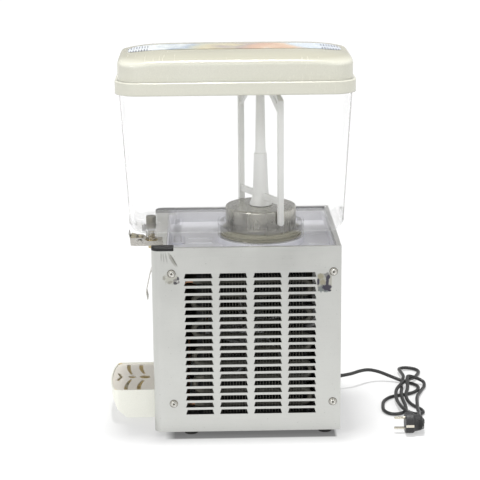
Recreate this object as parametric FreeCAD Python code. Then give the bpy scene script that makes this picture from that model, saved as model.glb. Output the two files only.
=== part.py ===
import FreeCAD, Part
import math
import os

Vector = FreeCAD.Vector

# A refrigerated drink dispenser with one clear tank. Millimetres, +Z up, the tap at -Y.
# Sizes below are measured from the middle of the cabinet; place() then shifts every piece
# in Y, so that the finished machine is centred on its origin.

# ---- driving dimensions: cabinet ----
BASE_WIDTH = 300.0
BASE_LENGTH = 325.0
FOOT_HEIGHT = 10.0
RIM_HEIGHT = 343.0
SHEET = 1.0
COLUMN_WIDTH = 24.0
COLUMN_LENGTH = 38.5
COLUMN_RADIUS = 14.0
CAP_HEIGHT = 5.0
FRONT_RECESS = 24.5
HEM_WIDTH = 7.0
HEM_DEPTH = 8.0
PAN_DEPTH = 26.0
PAN_SHEET = 1.2
LOUVRE_ROWS = 20
LOUVRE_COLUMNS = 4
LOUVRE_LENGTH = 49.0
LOUVRE_HEIGHT = 8.6
LOUVRE_SLANT = 2.5
LOUVRE_COLUMN_PITCH = 59.3
LOUVRE_ROW_PITCH = 13.0
LOUVRE_START = 55.3
LOUVRE_BELOW_RIM = 45.4
FOOT_RADIUS = 14.0
FOOT_INSET = 25.0

# ---- cold drum and its seat ----
DRUM_BEHIND_MIDDLE = 30.0
DRUM_RADIUS = 63.0
DRUM_SHEET = 1.2
DRUM_ABOVE_RIM = 39.0
SEAT_MARGIN = 6.5
SEAT_HEIGHT = 11.0
FLANGE_WIDTH = 8.0
GASKET_HEIGHT = 11.0
SPINDLE_RADIUS = 4.0
SPINDLE_HEIGHT = 14.0
COIL_TUBE_RADIUS = 4.75
COIL_TURNS = 4

# ---- tank ----
TANK_ABOVE_RIM = 9.5
TANK_HEIGHT = 264.7
TANK_WALL = 3.0
TANK_FRONT_OVERHANG = 54.0
TANK_REAR_OVERHANG = 25.0
TANK_SIDE_INSET = 42.0
TANK_SIDE_TAPER = 10.0
TANK_END_TAPER = 15.0
TANK_BOTTOM_CORNER = 34.0
TANK_TOP_CORNER = 38.0
TANK_EDGE_RADIUS = 21.0
TANK_LIFT_GAP = 0.3
DRUM_HOLE_CLEARANCE = 2.5

# ---- lid ----
LID_SKIRT_HEIGHT = 22.0
LID_OVERLAP = 19.2
LID_SIDE_CLEARANCE = 6.0
LID_END_CLEARANCE = 4.0
LID_SIDE_STEP = 4.8
LID_END_STEP = 5.2
LID_CORNER = 42.0
LID_WALL = 2.5
LID_SHOULDER_HEIGHT = 30.0
LID_CROWN_HEIGHT = 16.0
COVER_SIDE_MARGIN = 71.2
COVER_END_MARGIN = 11.8
COVER_FLAT_HALF = 14.0
COVER_THICKNESS = 2.2
PICTURE_THICKNESS = 0.6

# ---- paddle ----
PADDLE_OFF_DRUM = 6.5
PADDLE_TURN = 62.0
PADDLE_FLOOR_GAP = 2.0
PADDLE_BELOW_TANK_TOP = 20.2
ARM_DEPTH = 6.0
ARM_WIDTH = 10.0
BAR_HEIGHT = 11.0
PADDLE_SHOULDER = 18.0
LOWER_BAR_RISE = 18.0
HUB_STEP_RISE = 94.4

# ---- tap ----
TAP_AHEAD = 4.0
VALVE_TUBE_RADIUS = 5.8
VALVE_BORE_RADIUS = 4.4
VALVE_SEAT_DEPTH = 14.5
VALVE_CAP_RADIUS = 9.0
VALVE_CAP_HEIGHT = 26.0
SPOUT_DROP = 33.0
WELL_RADIUS = 13.0
COLLAR_RADIUS = 11.0
COLLAR_DROP = 16.5
COLLAR_THICKNESS = 2.5
SPRING_WIRE = 1.3
SPRING_RADIUS = 9.2
SPRING_TURNS = 4
PIVOT_AHEAD = 20.5
PIVOT_DROP = 18.0
PIVOT_RADIUS = 2.5
LEVER_SHEET = 2.0
LEVER_LEG_LENGTH = 108.0
LEVER_INNER_HALF = 12.5
LEVER_ARM_HEIGHT = 8.0
EAR_THICKNESS = 3.5

# ---- drip tray ----
TRAY_HALF_WIDTH = 76.0
TRAY_TOP = 62.0
TRAY_BOTTOM = 10.0
TRAY_REACH = 83.5
TRAY_BOW = 8.0
TRAY_WALL = 2.4
TRAY_KNEE_HEIGHT = 25.0
TRAY_KNEE_BACK = 14.5
TRAY_FLOOR_BACK = 31.0
GRID_DROP = 2.0
GRID_THICKNESS = 2.4
GRID_GAP = 0.4

# ---- cord and plug ----
CORD_DIAMETER = 6.5
GLAND = (-84.0, 26.0)
BOOT_LENGTH = 22.0
PLUG_ACROSS = 146.0
PLUG_BEHIND = 114.5
PLUG_HEIGHT = 18.8
PLUG_RADIUS = 18.4
PIN_SPACING = 19.0
PIN_RADIUS = 2.4
PIN_LENGTH = 19.0

# ---- shared fits ----
GAP = 0.3
RUNNING = 0.05

# ---- places that follow from the sizes ----
SIDE = BASE_WIDTH / 2
FRONT = -BASE_LENGTH / 2
REAR = BASE_LENGTH / 2
COLUMN_REAR = FRONT + COLUMN_LENGTH
COLUMN_INNER = SIDE - COLUMN_WIDTH
COLUMN_TOP = RIM_HEIGHT - CAP_HEIGHT
FRONT_PANEL = FRONT + FRONT_RECESS
PAN_TOP = RIM_HEIGHT - HEM_DEPTH
PAN_FLOOR = RIM_HEIGHT - PAN_DEPTH
SEAT_TOP = PAN_FLOOR + SEAT_HEIGHT
FLANGE_TOP = SEAT_TOP + DRUM_SHEET
LOUVRE_TOP = RIM_HEIGHT - LOUVRE_BELOW_RIM
DRUM_TOP = RIM_HEIGHT + DRUM_ABOVE_RIM
FLANGE_RADIUS = DRUM_RADIUS + FLANGE_WIDTH
SEAT_RADIUS = FLANGE_RADIUS + SEAT_MARGIN
DRUM_HOLE_RADIUS = DRUM_RADIUS + DRUM_HOLE_CLEARANCE
TANK_FLOOR = RIM_HEIGHT + TANK_ABOVE_RIM
TANK_INSIDE = TANK_FLOOR + TANK_WALL
TANK_TOP = TANK_FLOOR + TANK_HEIGHT
TANK_BEHIND_MIDDLE = (TANK_REAR_OVERHANG - TANK_FRONT_OVERHANG) / 2
TANK_TOP_HALF = (SIDE - TANK_SIDE_INSET, REAR + (TANK_REAR_OVERHANG + TANK_FRONT_OVERHANG) / 2)
TANK_BOTTOM_HALF = (TANK_TOP_HALF[0] - TANK_SIDE_TAPER, TANK_TOP_HALF[1] - TANK_END_TAPER)
LID_SKIRT_BOTTOM = TANK_TOP - LID_OVERLAP
LID_SKIRT_TOP = LID_SKIRT_BOTTOM + LID_SKIRT_HEIGHT
LID_SKIRT_HALF = (TANK_TOP_HALF[0] + LID_SIDE_CLEARANCE, TANK_TOP_HALF[1] + LID_END_CLEARANCE)
LID_BODY_HALF = (LID_SKIRT_HALF[0] - LID_SIDE_STEP, LID_SKIRT_HALF[1] - LID_END_STEP)
LID_SHOULDER = LID_SKIRT_TOP + LID_SHOULDER_HEIGHT
LID_CROWN = LID_SHOULDER + LID_CROWN_HEIGHT
COVER_HALF = (LID_BODY_HALF[0] - COVER_SIDE_MARGIN, LID_BODY_HALF[1] - COVER_END_MARGIN)
COVER_CORNER = COVER_HALF[0] - COVER_FLAT_HALF
PADDLE_BOTTOM = TANK_INSIDE + PADDLE_FLOOR_GAP
PADDLE_TOP = TANK_TOP - PADDLE_BELOW_TANK_TOP
PADDLE_REACH = DRUM_RADIUS + PADDLE_OFF_DRUM
LOWER_BAR_HEIGHT = DRUM_TOP + LOWER_BAR_RISE
TAP_BEHIND_MIDDLE = FRONT - TAP_AHEAD
VALVE_SEAT = TANK_FLOOR - VALVE_SEAT_DEPTH
VALVE_CAP_TOP = VALVE_SEAT + VALVE_CAP_HEIGHT
SPOUT_BOTTOM = VALVE_SEAT - SPOUT_DROP
COLLAR_TOP = VALVE_SEAT - COLLAR_DROP
PIVOT_Y = TAP_BEHIND_MIDDLE - PIVOT_AHEAD
PIVOT_HEIGHT = VALVE_SEAT - PIVOT_DROP
TRAY_FRONT = FRONT - TRAY_REACH
PLUG_AT = (PLUG_ACROSS, REAR + PLUG_BEHIND, PLUG_HEIGHT)
LID_REAR = TANK_BEHIND_MIDDLE + LID_SKIRT_HALF[1]
SHIFT = -(TRAY_FRONT + LID_REAR) / 2


# ---- small makers ----

def rounded_edges(corners, radii, closed):
    """Straight runs joined by tangent arcs through a list of corner points."""
    count = len(corners)
    stops = []
    for i, here in enumerate(corners):
        radius = radii[i]
        if radius == 0:
            stops.append((here, None, here))
            continue
        back = (corners[i - 1] - here).normalize()
        ahead = (corners[(i + 1) % count] - here).normalize()
        half = back.getAngle(ahead) / 2
        inward = (back + ahead).normalize()
        reach = radius / math.tan(half)
        middle = here + inward * (radius / math.sin(half) - radius)
        stops.append((here + back * reach, middle, here + ahead * reach))
    edges = []
    for i, (start, middle, end) in enumerate(stops):
        if middle is not None:
            edges.append(Part.Arc(start, middle, end).toShape())
        if i == count - 1 and not closed:
            break
        following = stops[(i + 1) % count][0]
        if (following - end).Length > 1e-6:
            edges.append(Part.LineSegment(end, following).toShape())
    return edges


def outline(points, lay):
    """A closed wire from (a, b, radius) corners, laid into space by lay(a, b)."""
    corners = [lay(point[0], point[1]) for point in points]
    return Part.Wire(rounded_edges(corners, [point[2] for point in points], True))


def slab(points, z0, z1):
    """A plate with a plan outline, from height z0 to z1."""
    wire = outline(points, lambda x, y: Vector(x, y, z0))
    return Part.Face(wire).extrude(Vector(0, 0, z1 - z0))


def side_slab(points, x0, x1):
    """A plate with an outline in the side view (y, z), from x0 to x1."""
    wire = outline(points, lambda y, z: Vector(x0, y, z))
    return Part.Face(wire).extrude(Vector(x1 - x0, 0, 0))


def front_slab(points, y0, y1):
    """A plate with an outline in the front view (x, z), from y0 to y1."""
    wire = outline(points, lambda x, z: Vector(x, y0, z))
    return Part.Face(wire).extrude(Vector(0, y1 - y0, 0))


def rectangle(x0, x1, y0, y1, radius=0):
    return [(x0, y0, radius), (x1, y0, radius), (x1, y1, radius), (x0, y1, radius)]


def box(x0, x1, y0, y1, z0, z1):
    return Part.makeBox(x1 - x0, y1 - y0, z1 - z0, Vector(x0, y0, z0))


def rod(radius, start, direction, length):
    return Part.makeCylinder(radius, length, start, direction)


UP = Vector(0, 0, 1)
RIGHT = Vector(1, 0, 0)
BACK = Vector(0, 1, 0)


def turned(profile, x, y):
    """A solid of revolution about the vertical through (x, y) from (radius, z, corner radius)."""
    wire = outline(profile, lambda radius, z: Vector(x + radius, y, z))
    return Part.Face(wire).revolve(Vector(x, y, 0), UP, 360)


def ring(outer, inner, x, y, z0, z1):
    return turned(rectangle(inner, outer, z0, z1), x, y)


def tube_along(points, radius, radii):
    """A round bar along runs and arcs; radii holds one bend radius for each inner point."""
    corners = [Vector(*point) for point in points]
    path = Part.Wire(rounded_edges(corners, [0] + list(radii) + [0], False))
    heading = corners[1] - corners[0]
    section = Part.Wire(Part.makeCircle(radius, corners[0], heading))
    solid = path.makePipeShell([section], True, False)
    return solid, path.Length


def mirrored(shape):
    return shape.mirror(Vector(0, 0, 0), RIGHT)


def fused(shapes):
    return shapes[0].multiFuse(shapes[1:]).removeSplitter()


def group(shapes):
    return Part.makeCompound(shapes)


def place(name, shape):
    """Shift a piece into the machine's own frame and write it."""
    moved = shape.copy()
    moved.translate(Vector(0, SHIFT, 0))
    moved.exportStep("parts/" + name + ".step")
    sound = "ok" if moved.isValid() else "BAD"
    print(name, sound, "solids", len(moved.Solids), "volume", round(moved.Volume))


# ---- cabinet ----

def louvre_cuts(x0, x1):
    cuts = []
    for column in range(LOUVRE_COLUMNS):
        y0 = FRONT + LOUVRE_START + column * LOUVRE_COLUMN_PITCH
        y1 = y0 + LOUVRE_LENGTH
        for row in range(LOUVRE_ROWS):
            top = LOUVRE_TOP - row * LOUVRE_ROW_PITCH
            bottom = top - LOUVRE_HEIGHT
            points = [(y0, bottom, 0), (y1, bottom, 0), (y1 - LOUVRE_SLANT, top, 0),
                      (y0 + LOUVRE_SLANT, top, 0)]
            cuts.append(side_slab(points, x0, x1))
    return cuts


SCREW_LOW = 62.6
SCREW_HIGH = RIM_HEIGHT - 44.7
SCREW_PLACES = [(COLUMN_REAR - 4.5, SCREW_HIGH), (REAR - 13.5, SCREW_HIGH),
                (COLUMN_REAR - 4.5, SCREW_LOW), (REAR - 13.5, SCREW_LOW)]
SCREW_RADIUS = 2.0
SCREW_LENGTH = 11.0
HEAD_RADIUS = 4.6
WASHER_RADIUS = 7.2
WASHER_HEIGHT = 1.2
HEAD_HEIGHT = 2.6


def screw_holes(x0, x1):
    return [rod(SCREW_RADIUS + 0.1, Vector(x0, y, z), RIGHT, x1 - x0) for y, z in SCREW_PLACES]


def column_outline(inset):
    """The folded front corner column of the +X side, seen from above."""
    outer = COLUMN_RADIUS - inset
    small = 3.0 - inset
    return [(COLUMN_INNER + inset, FRONT + inset, small), (SIDE - inset, FRONT + inset, outer),
            (SIDE - inset, COLUMN_REAR - inset, small), (COLUMN_INNER + inset, COLUMN_REAR - inset, small)]


def side_panel():
    column = slab(column_outline(0), FOOT_HEIGHT, COLUMN_TOP)
    column = column.cut(slab(column_outline(SHEET), FOOT_HEIGHT, COLUMN_TOP))
    wall = box(SIDE - SHEET, SIDE, COLUMN_REAR - COLUMN_RADIUS / 2, REAR, FOOT_HEIGHT, RIM_HEIGHT)
    wall = wall.cut(box(SIDE - SHEET, SIDE, FRONT, COLUMN_REAR, COLUMN_TOP, RIM_HEIGHT))
    hem = box(SIDE - HEM_WIDTH, SIDE - SHEET, COLUMN_REAR, REAR - SHEET, RIM_HEIGHT - SHEET, RIM_HEIGHT)
    lip = box(SIDE - HEM_WIDTH - SHEET, SIDE - HEM_WIDTH, COLUMN_REAR, REAR - SHEET, PAN_TOP, RIM_HEIGHT)
    panel = fused([column, wall, hem, lip])
    return panel.cut(group(louvre_cuts(SIDE - 2 * SHEET, SIDE + SHEET) + screw_holes(SIDE - 2 * SHEET, SIDE)))


def column_cap():
    cap = slab(column_outline(0), COLUMN_TOP, RIM_HEIGHT)
    edges = [edge for edge in cap.Edges if edge.BoundBox.ZMin > RIM_HEIGHT - 0.01]
    cap = cap.makeFillet(1.2, edges)
    spigot = slab(column_outline(SHEET + 0.2), COLUMN_TOP - 8, COLUMN_TOP)
    return fused([cap, spigot])


def panel_screws():
    screws = []
    for y, z in SCREW_PLACES:
        face = Vector(SIDE, y, z)
        washer = Part.makeCylinder(WASHER_RADIUS, WASHER_HEIGHT, face, RIGHT)
        washer = washer.makeChamfer(0.5, [washer.Edges[0]])
        head_base = face + RIGHT * WASHER_HEIGHT
        head = Part.makeCone(HEAD_RADIUS, HEAD_RADIUS - 1.2, HEAD_HEIGHT, head_base, RIGHT)
        slot_base = head_base + RIGHT * (HEAD_HEIGHT - 1.4)
        cross = [box(slot_base.x, slot_base.x + 2, y - 2.6, y + 2.6, z - 0.55, z + 0.55),
                 box(slot_base.x, slot_base.x + 2, y - 0.55, y + 0.55, z - 2.6, z + 2.6)]
        head = head.cut(group(cross))
        shank = Part.makeCylinder(SCREW_RADIUS, SCREW_LENGTH, face, RIGHT * -1)
        screws.append(fused([washer, head, shank]))
    return group(screws + [mirrored(screw) for screw in screws])


POST_LEG = 18.0


def rear_posts():
    x1 = SIDE - SHEET
    y1 = REAR - SHEET
    points = [(x1 - POST_LEG, y1 - SHEET, 0), (x1 - SHEET, y1 - SHEET, 0), (x1 - SHEET, y1 - POST_LEG, 0),
              (x1, y1 - POST_LEG, 0), (x1, y1, 0), (x1 - POST_LEG, y1, 0)]
    post = slab(points, BASE_PLATE_TOP, PAN_TOP - PAN_SHEET)
    post = post.cut(group(screw_holes(x1 - 4, x1 + 1)))
    return group([post, mirrored(post)])


BASE_PLATE_TOP = FOOT_HEIGHT + 1.5
BASE_PLATE_LIP = 12.0


def base_plate():
    x1 = SIDE - SHEET
    floor_y0 = FRONT_PANEL + SHEET
    y1 = REAR - SHEET
    floor = box(-x1, x1, COLUMN_REAR, y1, FOOT_HEIGHT, BASE_PLATE_TOP)
    tongue = box(-COLUMN_INNER, COLUMN_INNER, floor_y0, COLUMN_REAR, FOOT_HEIGHT, BASE_PLATE_TOP)
    front_lip = box(-COLUMN_INNER, COLUMN_INNER, floor_y0, floor_y0 + SHEET, BASE_PLATE_TOP,
                    BASE_PLATE_TOP + BASE_PLATE_LIP)
    plate = fused([floor, tongue, front_lip])
    holes = [rod(3.1, Vector(x, y, 0), UP, RIM_HEIGHT / 2) for x, y in FOOT_PLACES]
    return plate.cut(group(holes))


FOOT_PLACES = [(sx * (SIDE - FOOT_INSET), y) for sx in (-1, 1)
               for y in (COLUMN_REAR + FOOT_INSET, REAR - FOOT_INSET)]


def feet():
    pads = []
    for x, y in FOOT_PLACES:
        pad = Part.makeCone(FOOT_RADIUS - 2, FOOT_RADIUS, FOOT_HEIGHT, Vector(x, y, 0))
        stem = rod(3.0, Vector(x, y, FOOT_HEIGHT), UP, 8)
        pads.append(fused([pad, stem]))
    return group(pads)


TAB_HALF = 6.0
TAB_AT = 40.0
TAB_HEIGHT = 44.0
TAB_THICKNESS = 3.0
TAB_LENGTH = 7.0


def tray_tabs(grow):
    y0 = FRONT_PANEL - GAP
    tabs = []
    for x in (-TAB_AT, TAB_AT):
        tabs.append(box(x - TAB_HALF - grow, x + TAB_HALF + grow, y0 - TRAY_WALL / 2, y0 + TAB_LENGTH,
                        TAB_HEIGHT - grow, TAB_HEIGHT + TAB_THICKNESS + grow))
    return tabs


def front_panel():
    panel = box(-COLUMN_INNER, COLUMN_INNER, FRONT_PANEL, FRONT_PANEL + SHEET, FOOT_HEIGHT, PAN_TOP)
    return panel.cut(group(tray_tabs(0.5)))


CONTROLS_HEIGHT = RIM_HEIGHT - 58.0
KNOB_AT = (SIDE - 55.0, CONTROLS_HEIGHT)
ROCKER_AT = [(SIDE - 105.0, CONTROLS_HEIGHT), (SIDE - 135.0, CONTROLS_HEIGHT)]
ROCKER_HALF = (9.5, 12.5)
ROCKER_SUNK = 3.8
BEZEL_HEIGHT = 1.2
VENT_ROWS = 9
VENT_LENGTH = 80.0
VENT_GAP = 20.0
VENT_PITCH = 12.0
VENT_BOTTOM = 130.0


def rear_panel():
    x1 = SIDE - SHEET
    y0 = REAR - SHEET
    wall = box(-x1, x1, y0, REAR, FOOT_HEIGHT, RIM_HEIGHT)
    hem = box(-x1 + HEM_WIDTH, x1 - HEM_WIDTH, y0 - HEM_WIDTH + SHEET, y0, RIM_HEIGHT - SHEET, RIM_HEIGHT)
    lip = box(-x1 + HEM_WIDTH, x1 - HEM_WIDTH, y0 - HEM_WIDTH, y0 - HEM_WIDTH + SHEET, PAN_TOP, RIM_HEIGHT)
    cuts = [rod(4.6, Vector(KNOB_AT[0], y0 - 1, KNOB_AT[1]), BACK, 4)]
    cuts.append(rod(GLAND_HOLE, Vector(GLAND[0], y0 - 1, GLAND[1]), BACK, 4))
    for x, z in ROCKER_AT:
        cuts.append(box(x - ROCKER_HALF[0] - 0.2, x + ROCKER_HALF[0] + 0.2, y0 - 1, REAR + 1,
                        z - ROCKER_HALF[1] - 0.2, z + ROCKER_HALF[1] + 0.2))
    for row in range(VENT_ROWS):
        z = VENT_BOTTOM + row * VENT_PITCH
        for x in (-VENT_LENGTH - VENT_GAP / 2, VENT_GAP / 2):
            cuts.append(front_slab(rectangle(x, x + VENT_LENGTH, z, z + 5, 2.4), y0 - 1, REAR + 1))
    return fused([wall, hem, lip]).cut(group(cuts))


# ---- sunken top pan ----

PAN_INSET = 9.2
RIB_WIDTH = 8.0
RIB_HEIGHT = 1.5


def pan_outline(inset):
    """The pan in plan: wide between the side panels, narrower between the front columns."""
    wide = SIDE - PAN_INSET - inset
    narrow = COLUMN_INNER - 1.2 - inset
    front = FRONT_PANEL + 2.2 + inset
    step = COLUMN_REAR + 1.2 + inset
    rear = REAR - PAN_INSET - inset
    return [(-narrow, front, 5), (narrow, front, 5), (narrow, step, 2), (wide, step, 5), (wide, rear, 5),
            (-wide, rear, 5), (-wide, step, 5), (-narrow, step, 2)]


PAN_HOLE_INSIDE_DRUM = 7.0
PAN_HOLE_RADIUS = DRUM_RADIUS - PAN_HOLE_INSIDE_DRUM


def top_pan():
    underside = PAN_FLOOR - PAN_SHEET
    pan = slab(pan_outline(0), underside, PAN_TOP - PAN_SHEET)
    flange = slab([(x, y, radius) for x, y, radius in pan_outline(-1.0)], PAN_TOP - PAN_SHEET, PAN_TOP - 0.2)
    pan = fused([pan, flange]).cut(slab(pan_outline(PAN_SHEET), PAN_FLOOR, PAN_TOP + 1))
    ribs = []
    front_rib = (FRONT_PANEL + 35.0, DRUM_BEHIND_MIDDLE - SEAT_RADIUS - 10.5, 17.0)
    rear_rib = (DRUM_BEHIND_MIDDLE + SEAT_RADIUS + 4.5, REAR - 12.5, 35.0)
    for y0, y1, x in (front_rib, rear_rib):
        for side in (-1, 1):
            rib = slab(rectangle(side * x - RIB_WIDTH / 2, side * x + RIB_WIDTH / 2, y0, y1, 3),
                       PAN_FLOOR - 0.2, PAN_FLOOR + RIB_HEIGHT)
            top = [edge for edge in rib.Edges if edge.BoundBox.ZMin > PAN_FLOOR + RIB_HEIGHT - 0.01]
            ribs.append(rib.makeFillet(1.0, top))
    pan = fused([pan] + ribs)
    return pan.cut(rod(PAN_HOLE_RADIUS, Vector(0, DRUM_BEHIND_MIDDLE, underside - 1), UP, 10))


PAD_Y = (FRONT_PANEL + 8.0, FRONT_PANEL + 30.0)
PAD_HALF = 26.0
PAD_HEIGHT = 3.0


def tank_rest():
    pad = slab(rectangle(-PAD_HALF, PAD_HALF, PAD_Y[0], PAD_Y[1], 4), PAN_FLOOR, PAN_FLOOR + PAD_HEIGHT)
    top = [edge for edge in pad.Edges if edge.BoundBox.ZMin > PAN_FLOOR + PAD_HEIGHT - 0.01]
    return pad.makeFillet(1.0, top)


# ---- cold drum ----

def drum_seat():
    profile = [(PAN_HOLE_RADIUS, PAN_FLOOR, 0), (SEAT_RADIUS, PAN_FLOOR, 0), (SEAT_RADIUS, SEAT_TOP, 1),
               (PAN_HOLE_RADIUS, SEAT_TOP, 1)]
    return turned(profile, 0, DRUM_BEHIND_MIDDLE)


def evaporator_drum():
    inner = DRUM_RADIUS - DRUM_SHEET
    profile = [(inner, SEAT_TOP, 0), (FLANGE_RADIUS, SEAT_TOP, 0), (FLANGE_RADIUS, FLANGE_TOP, 0),
               (DRUM_RADIUS, FLANGE_TOP, 0), (DRUM_RADIUS, DRUM_TOP, 3.2), (0, DRUM_TOP, 0),
               (0, DRUM_TOP - DRUM_SHEET, 0), (inner, DRUM_TOP - DRUM_SHEET, 2)]
    return turned(profile, 0, DRUM_BEHIND_MIDDLE)


def drum_spindle():
    top = DRUM_TOP + SPINDLE_HEIGHT
    profile = [(0, DRUM_TOP, 0), (SPINDLE_RADIUS, DRUM_TOP, 0), (SPINDLE_RADIUS, top, 2), (0, top, 0)]
    return turned(profile, 0, DRUM_BEHIND_MIDDLE)


COLLAR_INNER = SEAT_RADIUS - TANK_WALL


def drum_gasket():
    inner = DRUM_RADIUS + 0.1
    base = FLANGE_TOP
    body = ring(FLANGE_RADIUS, inner, 0, DRUM_BEHIND_MIDDLE, base, base + GASKET_HEIGHT)
    lips = []
    for rise in (2.0, 7.0):
        lips.append(ring(COLLAR_INNER - GAP, inner, 0, DRUM_BEHIND_MIDDLE, base + rise, base + rise + 1.4))
    return fused([body] + lips)


def evaporator_coil():
    radius = DRUM_RADIUS - DRUM_SHEET - GAP - COIL_TUBE_RADIUS
    turns = []
    for turn in range(COIL_TURNS):
        z = FLANGE_TOP + COIL_TUBE_RADIUS + 2 + turn * (2 * COIL_TUBE_RADIUS + GAP)
        turns.append(Part.makeTorus(radius, COIL_TUBE_RADIUS, Vector(0, DRUM_BEHIND_MIDDLE, z)))
    return group(turns)


# ---- stirrer drive under the pan ----

MOTOR_HALF = (33.0, 26.0)
MOTOR_BELOW_RIM = 93.0
MOTOR_HEIGHT = 42.0
MOTOR_Z = (RIM_HEIGHT - MOTOR_BELOW_RIM, RIM_HEIGHT - MOTOR_BELOW_RIM + MOTOR_HEIGHT)
SHAFT_BELOW_MOTOR_TOP = 30.0
MOTOR_CAN_RADIUS = 24.0
MOTOR_CAN_DROP = 30.0
BRACKET_HALF = (50.0, 30.0)
BRACKET_THICKNESS = 2.0
SHAFT_RADIUS = 4.0
ROTOR_RADIUS = 38.0
ROTOR_HEIGHT = 12.0
ROTOR_HUB_RADIUS = 12.0
ROTOR_HUB_HEIGHT = 10.0


def stirrer_motor():
    y = DRUM_BEHIND_MIDDLE
    body = slab(rectangle(-MOTOR_HALF[0], MOTOR_HALF[0], y - MOTOR_HALF[1], y + MOTOR_HALF[1], 5), *MOTOR_Z)
    can = rod(MOTOR_CAN_RADIUS, Vector(0, y, MOTOR_Z[0] - MOTOR_CAN_DROP), UP, MOTOR_CAN_DROP + 1)
    bore = rod(SHAFT_RADIUS + RUNNING, Vector(0, y, MOTOR_Z[1] - SHAFT_BELOW_MOTOR_TOP - 2), UP, MOTOR_HEIGHT)
    return fused([body, can]).cut(bore)


def motor_bracket():
    y = DRUM_BEHIND_MIDDLE
    z = MOTOR_Z[1]
    plate = slab(rectangle(-BRACKET_HALF[0], BRACKET_HALF[0], y - BRACKET_HALF[1], y + BRACKET_HALF[1], 6),
                 z, z + BRACKET_THICKNESS)
    rise = PAN_FLOOR - PAN_SHEET - z - BRACKET_THICKNESS
    posts = []
    for x in (-1, 1):
        for side in (-1, 1):
            foot = Vector(x * (BRACKET_HALF[0] - 6), y + side * (BRACKET_HALF[1] - 2), z + BRACKET_THICKNESS)
            posts.append(rod(4, foot - UP * BRACKET_THICKNESS, UP, rise + BRACKET_THICKNESS))
    hole = rod(SHAFT_RADIUS + 2, Vector(0, y, z - 1), UP, 5)
    return fused([plate] + posts).cut(hole)


def drive_rotor():
    y = DRUM_BEHIND_MIDDLE
    top = DRUM_TOP - DRUM_SHEET - 2
    bottom = top - ROTOR_HEIGHT
    foot = MOTOR_Z[1] - SHAFT_BELOW_MOTOR_TOP
    profile = [(0, foot, 0), (SHAFT_RADIUS, foot, 0), (SHAFT_RADIUS, bottom - ROTOR_HUB_HEIGHT, 0),
               (ROTOR_HUB_RADIUS, bottom - ROTOR_HUB_HEIGHT, 1), (ROTOR_HUB_RADIUS, bottom, 1),
               (ROTOR_RADIUS, bottom, 1), (ROTOR_RADIUS, top, 1), (0, top, 0)]
    return turned(profile, 0, y)


# ---- refrigeration ----

COMPRESSOR_AT = (-62.0, REAR - 84.5)
COMPRESSOR_RADIUS = 62.0
COMPRESSOR_Z = (24.0, 188.0)
MOUNT_HALF_PITCH = 37.0


def compressor():
    x, y = COMPRESSOR_AT
    z0, z1 = COMPRESSOR_Z
    middle = (z0 + z1) / 2
    r = COMPRESSOR_RADIUS
    profile = [(0, z0, 0), (r - 4, z0, 26), (r - 4, middle, 0), (r, middle, 0), (r, middle + 8, 0),
               (r - 4, middle + 8, 0), (r - 4, z1, 34), (0, z1, 0)]
    shell = turned(profile, x, y)
    foot = slab(rectangle(x - r, x + r, y - 46, y + 46, 10), z0 - 3, z0 + 3)
    box_cover = slab(rectangle(x - 20, x + 20, y - r - 22, y - r + 12, 4), middle - 20, middle + 34)
    body = fused([shell, foot, box_cover])
    holes = []
    for sx in (-1, 1):
        for sy in (-1, 1):
            holes.append(rod(5.1, Vector(x + sx * (r - 9), y + sy * MOUNT_HALF_PITCH, z0 - 5), UP, 12))
    return body.cut(group(holes))


def compressor_mounts():
    x, y = COMPRESSOR_AT
    z0 = COMPRESSOR_Z[0] - 3
    mounts = []
    for sx in (-1, 1):
        for sy in (-1, 1):
            centre = Vector(x + sx * (COMPRESSOR_RADIUS - 9), y + sy * MOUNT_HALF_PITCH, BASE_PLATE_TOP)
            pad = rod(9, centre, UP, z0 - BASE_PLATE_TOP)
            neck = rod(5, centre, UP, z0 - BASE_PLATE_TOP + 6)
            cap = rod(8, centre + UP * (z0 - BASE_PLATE_TOP + 6), UP, 3)
            mounts.append(fused([pad, neck, cap]))
    return group(mounts)


CONDENSER_X = (104.0, 132.0)
CONDENSER_Y = (-92.0, 112.0)
CONDENSER_TUBE = 4.75
CONDENSER_ROWS = 10
CONDENSER_FIRST = 50.0
CONDENSER_LAST = RIM_HEIGHT - 68.0
CONDENSER_PITCH = (CONDENSER_LAST - CONDENSER_FIRST) / (CONDENSER_ROWS - 1)
FIN_COUNT = 34
FIN_THICKNESS = 0.6
FIN_GAP = 0.1


def condenser_tubes():
    x = (CONDENSER_X[0] + CONDENSER_X[1]) / 2
    y0, y1 = CONDENSER_Y
    corners = []
    for row in range(CONDENSER_ROWS):
        z = CONDENSER_FIRST + row * CONDENSER_PITCH
        ends = (y0, y1) if row % 2 == 0 else (y1, y0)
        corners.append((x, ends[0], z))
        corners.append((x, ends[1], z))
    radii = [CONDENSER_PITCH / 2] * (len(corners) - 2)
    return tube_along(corners, CONDENSER_TUBE, radii)[0]


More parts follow.
